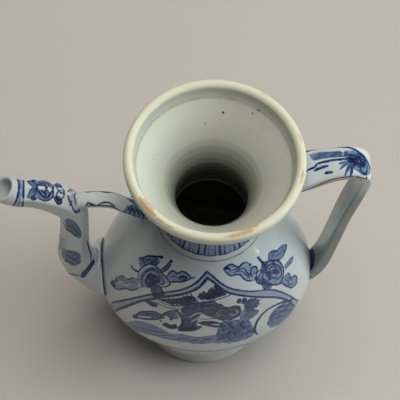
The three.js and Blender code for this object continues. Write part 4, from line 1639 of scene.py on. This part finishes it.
@dataclass
class SpoutPainting:
    """Rings, jewels and leaves on the spout, the same on its front and its back."""

    canvas: Canvas

    def rings(self) -> None:
        """The two rings at the tip, with a thin wash between them."""
        for start in range(-25, 25, 5):
            end = start + 5
            self.canvas.line([(120.6, start), (120.6, end)], 1.2, (1.0, 1.0))
            self.canvas.line([(116.2, start), (116.2, end)], 1.1, (1.0, 1.0))
            self.canvas.pale_line([(118.4, start), (118.4, end)], 2.8, 0.3)

    def jewels(self, brush: Canvas) -> None:
        """The tear, the ringed pearl with its flame, and the two ovals on the reaching tip.

        Args:
            brush: one half of the spout.
        """
        tear = [(114.2, 6.2), (113, 2.4), (111.6, 0.2), (110.4, 1.4), (111, 4.6), (113, 6.4)]
        brush.wash(tear, 0.46)
        brush.line([*tear, tear[0]], 0.55, (0.9, 0.9))
        ring = [
            (110.4, -0.6), (109.6, 2), (108, 4.8), (106, 5.2), (104.8, 2), (103.8, -1.4), (103.6, -4),
            (105.2, -6.4), (107.6, -7.2), (109.6, -6.2),
        ]
        brush.line(ring, 0.85, (0.7, 0.7))
        brush.wash([(110.2, -1.8), (108.2, -1), (106.2, -2), (104.2, -2.8), (105.6, -6),
                    (109, -6.6)], 0.42)
        brush.line([(108.8, 1.2), (107.8, 2.6), (107, 1.6), (107.6, -0.6)], 0.8)
        brush.line([(107.2, 0.6), (106.4, -1.2), (105.4, -2)], 0.7)
        brush.dot((107, -3.4), 0.6)
        flame = [(113, -4.8), (111.6, -2), (110, -1.4), (109, -3), (109.2, -5.6), (110.8, -6)]
        brush.wash(flame, 0.26)
        brush.pale_line([(112.6, -4.6), (111, -3), (109.6, -3.2)], 0.8, 0.12)
        brush.mass([(112.8, -7), (111.4, -5.8), (110, -6.4), (111.2, -8)])
        oval_top = [(102.2, 2.6), (101, 5), (99.6, 4.4), (98.8, 1), (100, -0.8), (101.6, 0)]
        brush.line([*oval_top, oval_top[0]], 0.75, (0.9, 0.9))
        oval_low = [
            (103, -4), (102, -2.6), (100.6, -3), (99.2, -4.4), (98.8, -6.2), (100, -7.2), (101.8, -6),
        ]
        brush.wash(oval_low, 0.58)
        brush.line([*oval_low[2:], oval_low[0]], 0.6, (0.8, 0.6))

    def loop(self, brush: Canvas) -> None:
        """The hanging double line at the top of the bend, and the two marks over it.

        Args:
            brush: one half of the spout.
        """
        brush.line([(94.6, 6), (94.8, 4), (94.6, 2.8)], 0.75)
        brush.line([(91, 7), (89.6, 6.6), (88.6, 6.2)], 0.7)
        outer = [(97, -1.2), (96, -3), (94, -5), (91.8, -6.8), (89, -7.2), (87.6, -6)]
        inner = [(94.6, 0.4), (93.4, -1.6), (91.6, -3.6), (89, -5), (87.4, -5.6)]
        brush.line(outer, 0.75, (0.9, 0.8))
        brush.line(inner, 0.75, (0.9, 0.8))
        brush.wash(outer + inner[::-1], 0.1)

    def leaves(self, brush: Canvas) -> None:
        """The two leaves down the riser, with short strokes between them.

        Args:
            brush: one half of the spout.
        """
        first = [
            (75, -21.6), (84, -16.6), (86.6, -14), (80, -11.4), (70.5, -9), (63, -9.5), (65, -12.4),
            (70.5, -15.6), (71, -19),
        ]
        brush.wash(first, 0.54)
        for vein in ([(80, -17.6), (74, -13), (67, -10)], [(75, -19.6), (71, -15.4), (66, -12)]):
            brush.pale_line(vein, 1.0, 0.86)
        brush.line([(80, -19), (86.6, -14), (79, -11), (70, -9), (63, -9.2)], 0.6)
        second = [
            (40, -21.5), (48.6, -17), (48.4, -13), (46, -9.6), (41, -9), (34, -9.8), (31.6, -13),
            (35.6, -16), (36, -20),
        ]
        brush.wash(second, 0.5)
        brush.line([(41, -22), (49, -17.2), (48.6, -13), (46, -9.6)], 0.7)
        for vein in (
            [(45, -18), (41, -14), (36, -11)],
            [(41, -20), (37.6, -16), (34, -13)],
            [(47, -15), (44, -11.4)],
        ):
            brush.pale_line(vein, 0.9, 0.84)
        for along in (56, 53, 50, 47, 44):
            brush.line([(along - 4, -23.6), (along, -20), (along - 0.4, -17.6)], 0.65)
        brush.line([(56, -24.6), (46, -24.8), (36, -24.4), (28, -24)], 0.8)

    def collar(self, brush: Canvas) -> None:
        """The line where the riser leaves the root, and its dark wedge.

        Args:
            brush: one half of the spout.
        """
        brush.line([(29, -23.6), (25.8, -20), (22.8, -15.5), (19, -11.6)], 1.1)
        brush.line([(51.5, -2.6), (44, -1.8), (38, -2), (33, -3.2), (29, -5)], 0.95)
        brush.mass([(29, -3), (28.4, -5.6), (26, -8.6), (21.6, -11), (18, -12.6), (17.6, -10.6),
                    (22, -7), (25, -4)])

    def paint(self) -> None:
        """Paints the whole spout."""
        self.rings()
        for side in (1.0, -1.0):
            brush = self.canvas.flipped(side)
            self.jewels(brush)
            self.loop(brush)
            self.leaves(brush)
            self.collar(brush)


@dataclass
class StrutPainting:
    """A lined scroll along the strut, closed by a dark leaf where it meets the neck."""

    canvas: Canvas

    def paint(self) -> None:
        """Paints both sides of the strut."""
        self.canvas.line([(8, 3.6), (16, 3.6), (24, 3.6), (32, 3.4), (40, 3)], 0.6)
        for side in (-1.0, 1.0):
            brush = self.canvas.flipped(side)
            brush.line([(9, 4.8), (15, 5), (21.5, 5), (25, 5.8), (29, 7), (34.5, 7.4), (39, 7.2)], 1.0)
            brush.line([(9.8, 4.6), (10.6, 3.2), (12.4, 4), (14, 4.8)], 0.9)
            brush.line([(15.5, 4.2), (18.5, 2.9), (21, 3.2), (23.6, 4.6)], 0.8)
            brush.wash([(29, 6.6), (30, 2.8), (34, 0.2), (40, 0), (45, 1), (46, 4), (44, 8),
                        (36, 8)], 0.42)
            for start in (30, 33, 36, 39):
                brush.line([(start, 2), (start + 3, 4), (start + 4.6, 6.8)], 0.7)


@dataclass
class HandlePainting:
    """A long leaf, sprays and scrolls round the corner of the strap."""

    canvas: Canvas

    def paint(self) -> None:
        """Paints the upper strap and the corner."""
        brush = self.canvas
        brush.line([(22, 6.6), (25, 7), (31.5, 8), (40, 7.6), (46, 6.4), (50, 3.6), (53, 0.6),
                    (56, -2)], 1.1)
        brush.wash([(26, 5.4), (31, 5.8), (38, 5.2), (46, 4.6), (46, 1.6), (41, 2), (34, 2.8),
                    (28, 2.4)], 0.36)
        for reach in (4.8, 3.8, 2.8):
            brush.pale_line([(28, reach), (36.5, reach - 0.2), (45, reach - 0.8)], 0.7, 0.62)
        brush.line([(24, -1.4), (27, -0.4), (31, 0.2), (37, 0.6), (43, 0.2), (47, 0)], 1.3, (0.6, 0.9))
        for leaf in ([(28, -2.2), (31, -1.6), (35, -1.4)], [(33.4, -4.6), (35, -4.6), (37, -5)]):
            brush.line(leaf, 1.5, (0.5, 0.6))
        for tip in ((40.4, -1.4), (40.6, -4), (42.6, -7.4), (45, -8)):
            brush.pale_line([(47, 0.4), ((47 + tip[0]) / 2, tip[1] * 0.4), tip], 1.5, 0.62)
        brush.wash([(44.6, 2.6), (48, 4), (51.6, 3), (52, 0), (50.6, -2.8), (47, -3), (45, 0)], 0.74)
        for streak in (
            [(43, 3), (47, 2.4), (51, 1)],
            [(43.6, 1.4), (48, 0.6), (51.6, -1)],
            [(45, -0.6), (48.4, -1.4), (51, -2.6)],
        ):
            brush.line(streak, 0.8)
        brush.wash([(46, 5.4), (51, 4), (54.6, 0), (54, -5), (50, -7), (46.4, -4), (45.6, 1)], 0.46)
        brush.line([(49.6, -2.4), (49, -5), (51, -6.2), (52.6, -3), (52.4, 0)], 0.8)
        brush.line([(48, -8.2), (50.4, -8.8), (52.6, -7.8), (52, -6.8)], 0.9)
        brush.line([(53, 0.6), (55.6, -1.4), (56.4, -4.8), (55.4, -7)], 1.1)
        brush.line([(18, -10.6), (25, -10.4), (31, -9.4), (37, -8.6), (44, -8.8), (50, -9.2)], 1.0)
        brush.line([(18, -15), (25, -14.6), (31, -13.6), (37, -12.8), (44, -13), (50, -13.4)], 0.8)
        brush.scuff([(24, -11.4), (30, -11.6), (38, -11.4), (46, -11.4)], 2.6)
        brush.scuff([(46, -10.8), (50.4, -11.4), (52, -12)], 2.4)
        brush.dot((51.4, -10.4), 0.5, Layer.PIT)
        for side in (-1.0, 1.0):
            brush = self.canvas.flipped(side)
            brush.mass([(157, 20), (166, 20), (167, 14), (160, 14.4)])
            brush.line([(166, 16), (169, 11), (170, 7)], 1.0)


@dataclass
class MouthWear:
    """Pinholes in the dish and tan chips on the rounded lip."""

    canvas: Canvas

    def paint(self) -> None:
        """Sets every flaw."""
        pinholes = [
            (6, 33.4, 0.75), (20.4, 30.6, 0.5), (23.4, 30.8, 0.6), (-3, 30, 0.45), (-29.4, 9.4, 0.5),
            (-28, 3, 0.3),
        ]
        for across, back, radius in pinholes:
            self.canvas.dot((across, back), radius, Layer.PIT)
        for across, back in ((-10, 17), (12.6, 19.6)):
            for step in (-1.0, 0.0, 1.0):
                self.canvas.dot((across + step, back - 0.8 * step), 0.22, Layer.PIT)
        for start, end, reach, width in (
            (-86, -66, 43.0, 2.2), (-76, -62, 41.6, 2.0), (-150, -134, 43.2, 2.6),
            (-148, -138, 41.4, 1.6), (-132, -120, 43.8, 1.2), (-20, -10, 43.4, 1.4),
            (10, 17, 43.6, 1.0), (52, 56, 43.4, 0.7),
        ):
            self.canvas.scuff(oval((0, 0), (reach, 0), (0, reach), start, end), width)


class Signal:
    """A value in a material; arithmetic on it adds Math nodes."""

    def __init__(self, recipe: "Nodes", socket: Socket) -> None:
        """Wraps an output socket."""
        self.recipe = recipe
        self.socket = socket

    def _math(self, operation: str, first: "Signal | float", second: "Signal | float") -> "Signal":
        """One Math node on two values."""
        node = self.recipe.node("ShaderNodeMath", {"operation": operation}, {0: first, 1: second})
        return Signal(self.recipe, node.outputs[0])

    def __add__(self, other: "Signal | float") -> "Signal":
        """The sum."""
        return self._math("ADD", self, other)

    def __radd__(self, other: float) -> "Signal":
        """The sum, from the right."""
        return self._math("ADD", other, self)

    def __sub__(self, other: "Signal | float") -> "Signal":
        """The difference."""
        return self._math("SUBTRACT", self, other)

    def __rsub__(self, other: float) -> "Signal":
        """The difference, from the right."""
        return self._math("SUBTRACT", other, self)

    def __mul__(self, other: "Signal | float") -> "Signal":
        """The product."""
        return self._math("MULTIPLY", self, other)

    def __rmul__(self, other: float) -> "Signal":
        """The product, from the right."""
        return self._math("MULTIPLY", other, self)

    def step(self, low: float, high: float, start: float = 0.0, end: float = 1.0) -> "Signal":
        """Goes smoothly from one value to another, and stays there.

        Args:
            low: where it starts to rise or fall.
            high: where it ends.
            start: its value up to low.
            end: its value from high on.

        Returns:
            The new value.
        """
        inputs = {"Value": self, "From Min": low, "From Max": high, "To Min": start, "To Max": end}
        node = self.recipe.node("ShaderNodeMapRange", {"interpolation_type": "SMOOTHSTEP"}, inputs)
        return Signal(self.recipe, node.outputs["Result"])


class Nodes:
    """Adds nodes to the tree of a material or of the room."""

    def __init__(self, tree: bpy.types.NodeTree) -> None:
        """Empties the tree."""
        self.tree = tree
        self.tree.nodes.clear()

    def node(self, kind: str, settings: dict | None = None, inputs: dict | None = None) -> bpy.types.Node:
        """Adds one node.

        Args:
            kind: the node's type.
            settings: properties of the node, set first; "stops" holds a ramp's places and colours.
            inputs: what its inputs take, as for feed.

        Returns:
            The new node.
        """
        made = self.tree.nodes.new(kind)
        for key, value in (settings or {}).items():
            if key == "stops":
                self._set_stops(made.color_ramp, value)
            else:
                setattr(made, key, value)
        self.feed(made, inputs or {})
        return made

    def feed(self, node: bpy.types.Node, inputs: dict) -> None:
        """Fills in a node.

        Args:
            node: the node that is fed.
            inputs: a value, Signal or socket for each input, by name or number.
        """
        for key, value in inputs.items():
            socket = node.inputs[key]
            if isinstance(value, Signal):
                self.tree.links.new(value.socket, socket)
            elif isinstance(value, Socket):
                self.tree.links.new(value, socket)
            else:
                socket.default_value = value

    @staticmethod
    def _set_stops(ramp: bpy.types.ColorRamp, stops: Sequence) -> None:
        """Fills in a ramp.

        Args:
            ramp: the ramp, with its two first stops.
            stops: a (place, colour) pair for each stop.
        """
        while len(ramp.elements) > 1:
            ramp.elements.remove(ramp.elements[-1])
        ramp.elements[0].position = stops[0][0]
        ramp.elements[0].color = stops[0][1]
        for place, tint in stops[1:]:
            ramp.elements.new(place).color = tint

    def ramp(self, factor: Signal | Socket, stops: Sequence) -> Socket:
        """A colour from a ramp."""
        return self.node("ShaderNodeValToRGB", {"stops": stops}, {0: factor}).outputs[0]


class Recipe(Nodes):
    """Builds the nodes of one material."""

    def __init__(self, name: str) -> None:
        """Starts a material with a Principled shader and nothing else.

        Args:
            name: the material's name.
        """
        self.material = bpy.data.materials.new(name)
        self.material.use_nodes = True
        super().__init__(self.material.node_tree)
        self.shader = self.node("ShaderNodeBsdfPrincipled")
        self.node("ShaderNodeOutputMaterial", None, {"Surface": self.shader.outputs[0]})
        self.place = self.node("ShaderNodeTexCoord").outputs["Object"]

    def layer(self, layer: Layer) -> Signal:
        """What the skin's vertices know."""
        node = self.node("ShaderNodeAttribute", {"attribute_name": layer.value[0]})
        return Signal(self, node.outputs["Fac"])

    def noise(self, size: float, detail: float = 2.0, roughness: float = 0.5) -> Signal:
        """Cloudy noise over the object.

        Args:
            size: how large its forms are, in millimetres.
            detail: how many finer noises lie over it.
            roughness: how strong those are.

        Returns:
            The noise, from 0 to 1.
        """
        scale = 1.0 / (size * MM)
        inputs = {"Vector": self.place, "Scale": scale, "Detail": detail, "Roughness": roughness}
        return Signal(self, self.node("ShaderNodeTexNoise", None, inputs).outputs["Fac"])

    def blend(self, factor: Signal, first: Tint | Socket, second: Tint | Socket) -> Socket:
        """A colour between two others."""
        node = self.node("ShaderNodeMix", {"data_type": "RGBA"}, {0: factor, 6: first, 7: second})
        return node.outputs[2]


def colour(red: float, green: float, blue: float) -> Tint:
    """A colour as it looks on a screen, made linear.

    Args:
        red: from 0 to 255.
        green: from 0 to 255.
        blue: from 0 to 255.

    Returns:
        The linear colour, with full cover.
    """
    shares = (channel / 255 for channel in (red, green, blue))
    linear = (s / 12.92 if s <= 0.04045 else ((s + 0.055) / 1.055) ** 2.4 for s in shares)
    return (*linear, 1.0)


@dataclass(frozen=True)
class Cobalt:
    """Blue painted under the glaze: thin, full and heaped."""

    faint: Tint = colour(164, 180, 196)
    pale: Tint = colour(120, 142, 174)
    full: Tint = colour(66, 90, 130)
    dark: Tint = colour(34, 50, 86)
    heaped: Tint = colour(16, 22, 40)

    def stops(self) -> list:
        """The ramp from faint to heaped."""
        thin = [(0.05, self.faint), (0.3, self.pale)]
        return thin + [(0.56, self.full), (0.8, self.dark), (1.0, self.heaped)]


@dataclass(frozen=True)
class Glaze:
    """A glossy glaze on white porcelain, with what shows under and through it."""

    name: str
    body: Tint
    cloud: Tint
    thin: Tint = colour(216, 216, 194)
    # the colour of the painted shade inside the body, down the throat and on the lower strap
    deep: Tint = colour(76, 80, 70)
    bare: Tint = colour(186, 152, 104)
    pinhole: Tint = colour(38, 34, 28)
    # colour of the darker crease and band at the lip
    grime: Tint = colour(84, 78, 74)
    speck: Tint = colour(98, 96, 88)
    gloss: float = 0.1  # roughness
    dimple: float = 0.00006  # metres
    refraction: float = 1.42
    cobalt: Cobalt = Cobalt()

    def _ink(self, recipe: Recipe) -> Signal:
        """Works out how much cobalt lies at each place.

        Args:
            recipe: where the nodes go.

        Returns:
            A value from 0 to 1.
        """
        grain = recipe.noise(0.9, 3.0)
        spread = (grain - 0.5) * 0.5
        line = (recipe.layer(Layer.LINE) + spread).step(-0.24, 0.26, 1.0, 0.0)
        heap = recipe.noise(1.7, 3.0, 0.6).step(0.35, 0.68, 0.6, 1.0)
        wash = (recipe.layer(Layer.WASH) + spread * 0.8).step(-0.3, 0.3, 1.0, 0.0)
        cloudy = recipe.noise(3.2, 3.0, 0.6).step(0.25, 0.75, 0.7, 1.3)
        thin = wash * recipe.layer(Layer.TONE) * cloudy
        thick = line * heap
        return thick + thin * (1 - thick)

    def make(self) -> bpy.types.Material:
        """Builds the material: ground colours and painted shade first, then the painting, and the flaws
        over it.

        Returns:
            The finished material.
        """
        recipe = Recipe(self.name)
        clouds = recipe.noise(26.0, 3.0).step(0.35, 0.65)
        ground = recipe.blend(clouds, self.body, self.cloud)
        ground = recipe.blend(recipe.layer(Layer.THIN), ground, self.thin)
        # painted shade: greys the ground inside the body, down the throat and on the strap below the
        # corner
        ground = recipe.blend(recipe.layer(Layer.DULL), ground, self.deep)
        ink = self._ink(recipe)
        painted = recipe.blend(ink.step(0.0, 0.16), ground, recipe.ramp(ink, self.cobalt.stops()))
        ragged = (recipe.noise(1.6, 4.0, 0.65) - 0.5) * 2.4
        chip = (recipe.layer(Layer.FRIT) + ragged).step(-0.9, 0.5, 0.9, 0.0)
        chipped = recipe.blend(chip, painted, self.bare)
        pit = recipe.layer(Layer.PIT).step(-0.25, 0.2, 1.0, 0.0)
        pitted = recipe.blend(pit, chipped, self.pinhole)
        # darkens the crease and the band at the lip, unevenly
        seam = recipe.layer(Layer.GRIME) * recipe.noise(2.0, 4.0, 0.6).step(0.3, 0.65, 0.35, 1.0)
        banded = recipe.blend(seam, pitted, self.grime)
        specks = recipe.noise(0.5, 1.0).step(0.77, 0.82)
        final = recipe.blend(specks * 0.5, banded, self.speck)
        skin = recipe.noise(3.5, 2.0) * 0.8 + recipe.noise(0.8, 2.0) * 0.2 - pit * 1.6 - chip * 0.35
        relief = {"Height": skin, "Distance": self.dimple, "Strength": 1.0}
        bump = recipe.node("ShaderNodeBump", None, relief)
        rough = recipe.noise(9.0, 3.0).step(0.3, 0.7, self.gloss * 0.8, self.gloss * 1.35) + chip * 0.35
        look = {"Base Color": final, "Roughness": rough, "Normal": bump.outputs[0]}
        recipe.feed(recipe.shader, look | {"IOR": self.refraction})
        return recipe.material


@dataclass(frozen=True)
class Ground:
    """The pale floor."""

    tint: Tint = colour(190, 184, 178)

    def make(self) -> bpy.types.Material:
        """Builds the nodes.

        Returns:
            The material.
        """
        recipe = Recipe("pale_floor")
        look = {"Base Color": self.tint, "Roughness": 0.9, "Specular IOR Level": 0.1}
        recipe.feed(recipe.shader, look)
        return recipe.material


@dataclass
class Viewpoint:
    """The camera, above and in front of the ewer."""

    axis_x: float
    elevation: float = 62.9  # degrees down
    turn: float = 6.5  # degrees round
    roll: float = 5.0  # degrees
    distance: float = 973.7  # mm to the middle of the mouth
    focal: float = 2000.0  # pixels
    mouth_height: float = 180.0
    mouth_pixel: Spot = (215.2, 157.2)

    def make(self) -> None:
        """Places the camera so that the middle of the mouth falls on its pixel."""
        down, round_, roll = (math.radians(angle) for angle in (self.elevation, self.turn, self.roll))
        level = Vector((math.cos(round_), -math.sin(round_), 0.0))
        ahead = Vector((math.sin(round_), math.cos(round_), 0.0))
        forward = math.cos(down) * ahead - math.sin(down) * Vector((0.0, 0.0, 1.0))
        upright = level.cross(forward)
        right = math.cos(roll) * level + math.sin(roll) * upright
        up = -math.sin(roll) * level + math.cos(roll) * upright
        scale = self.distance / self.focal
        aside = (self.mouth_pixel[0] - IMAGE_SIDE / 2) * scale
        above = (IMAGE_SIDE / 2 - self.mouth_pixel[1]) * scale
        target = Vector((self.axis_x, 0.0, self.mouth_height * MM))
        place = target - (aside * right + above * up + self.distance * forward) * MM
        lens = bpy.data.cameras.new("camera")
        lens.sensor_width = 36.0
        lens.sensor_fit = "HORIZONTAL"
        lens.lens = self.focal / IMAGE_SIDE * lens.sensor_width
        lens.clip_start = 0.05
        camera = add_object("camera", lens)
        turned = Matrix((right, up, -forward)).transposed().to_4x4()
        camera.matrix_world = Matrix.Translation(place) @ turned
        bpy.context.scene.camera = camera


@dataclass
class Studio:
    """Plain floor, soft room light and lamps."""

    axis_x: float
    lamp_distance: float = 2.2  # metres
    aim_height: float = 0.1  # metres; the lamps look at the axis here
    floor_reach: float = 3.0  # metres from the middle to a side
    left_tint: Tint = colour(60, 56, 52)
    right_tint: Tint = colour(206, 216, 222)
    room_strength: float = 0.12

    def floor(self) -> None:
        """Lays the floor under the ewer."""
        side = self.floor_reach
        corners = [(-side, -side, 0.0), (side, -side, 0.0), (side, side, 0.0), (-side, side, 0.0)]
        mesh = bpy.data.meshes.new("floor")
        mesh.from_pydata(corners, [], [(0, 1, 2, 3)])
        mesh.materials.append(Ground().make())
        floor = add_object("floor", mesh)

    def lamp(
        self,
        name: str,
        way: tuple[float, float],
        size: float,
        power: float,
        tint: Tint,
        mirrored: bool = False,
    ) -> None:
        """Hangs one round lamp that looks at the ewer.

        Args:
            name: the lamp's name.
            way: degrees round from the handle's side towards the back, and up.
            size: its width in metres.
            power: watts.
            tint: its colour.
            mirrored: whether the glaze reflects it.
        """
        light = bpy.data.lights.new(name, "AREA")
        light.shape = "DISK"
        light.size = size
        light.energy = power
        light.color = tint[:3]
        lamp = add_object(name, light)
        round_, up = (math.radians(angle) for angle in way)
        middle = Vector((self.axis_x, 0.0, self.aim_height))
        away = Vector((math.cos(up) * math.cos(round_), math.cos(up) * math.sin(round_), math.sin(up)))
        lamp.location = middle + away * self.lamp_distance
        lamp.rotation_euler = (-away).to_track_quat("-Z", "Y").to_euler()
        lamp.visible_glossy = mirrored

    def room(self) -> None:
        """Sets the light of the room: warm and dim to the left, cool and bright to the right."""
        world = bpy.data.worlds.new("room")
        world.use_nodes = True
        nodes = Nodes(world.node_tree)
        place = nodes.node("ShaderNodeTexCoord").outputs["Generated"]
        split = nodes.node("ShaderNodeSeparateXYZ", None, {0: place})
        side = nodes.node("ShaderNodeMapRange", None, {"Value": split.outputs["X"], "From Min": -1.0})
        tint = nodes.ramp(side.outputs["Result"], [(0.0, self.left_tint), (1.0, self.right_tint)])
        light = nodes.node("ShaderNodeBackground", None, {"Color": tint, "Strength": self.room_strength})
        nodes.node("ShaderNodeOutputWorld", None, {"Surface": light.outputs[0]})
        bpy.context.scene.world = world

    def make(self) -> None:
        """Sets up the whole stage."""
        bpy.context.scene.view_settings.view_transform = "Standard"
        self.floor()
        self.room()
        warm, plain, cool = colour(255, 248, 240), colour(252, 250, 246), colour(232, 248, 250)
        self.lamp("back_window", (105, 58), 0.2, 1.6, plain, True)
        self.lamp("right_window", (-19, 20), 0.16, 1.0, plain, True)
        self.lamp("low_lamp", (0, 20), 1.5, 22.0, cool)
        self.lamp("front_lamp", (-60, 20), 1.5, 3.0, plain)
        self.lamp("high_lamp", (0, 52), 1.5, 10.0, plain)
        self.lamp("back_lamp", (60, 52), 1.5, 10.0, plain)
        self.lamp("ceiling_lamp", (0, 90), 1.5, 27.0, warm)


def dress(piece: bpy.types.Object, finish: bpy.types.Material, nodes: Sequence[str]) -> None:
    """Gives a piece its finish and its place in the frame.

    Args:
        piece: the new piece.
        finish: its material.
        nodes: the CAD nodes that it stands for.
    """
    piece.data.materials.append(finish)
    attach(piece, "root")
    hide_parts(*nodes)
    log.info("%s: %d faces for %s", piece.name, len(piece.data.polygons), ", ".join(nodes))


def main() -> None:
    """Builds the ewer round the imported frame."""
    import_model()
    low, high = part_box("neck")
    axis_x = (low[0] + high[0]) / 2
    blue_white = Glaze("blue_white_glaze", colour(203, 211, 210), colour(192, 203, 206)).make()
    white = Glaze("white_glaze", colour(204, 209, 202), colour(196, 203, 197)).make()
    cream = Glaze("cream_glaze", colour(206, 214, 208), colour(198, 207, 203)).make()

    body = Body()
    skin = body.skin()
    for side in (-1.0, 1.0):
        canvas = body.canvas(skin, side)
        Garden(canvas).paint()
        Emblems(canvas).paint()
    dress(skin.to_object("body", axis_x), blue_white, ("lower_body", "upper_body"))
    dress(Foot().skin().to_object("foot", axis_x), white, ("foot_ring",))
    mouth = Mouth()
    skin = mouth.skin()
    NeckBorder(mouth.band(skin)).paint()
    MouthWear(mouth.dish(skin)).paint()
    dress(skin.to_object("neck_and_mouth", axis_x), cream, ("neck", "dished_mouth"))
    spout = Spout(body=body)
    skin = spout.skin()
    SpoutPainting(spout.canvas(skin)).paint()
    halves = ("spout_front_half", "spout_back_half")
    dress(skin.to_object("spout", axis_x), blue_white, halves)
    strut = Strut()
    skin = strut.skin()
    StrutPainting(strut.canvas(skin)).paint()
    dress(skin.to_object("strut", axis_x), blue_white, ("spout_strut",))
    handle = Handle()
    skin = handle.skin()
    HandlePainting(handle.canvas(skin)).paint()
    straps = ("handle_upper_strap", "handle_lower_strap")
    dress(skin.to_object("handle", axis_x), blue_white, straps)

    Viewpoint(axis_x).make()
    Studio(axis_x).make()


if __name__ == "__main__":
    logging.basicConfig(level=logging.INFO, format="%(name)s: %(message)s")
    main()
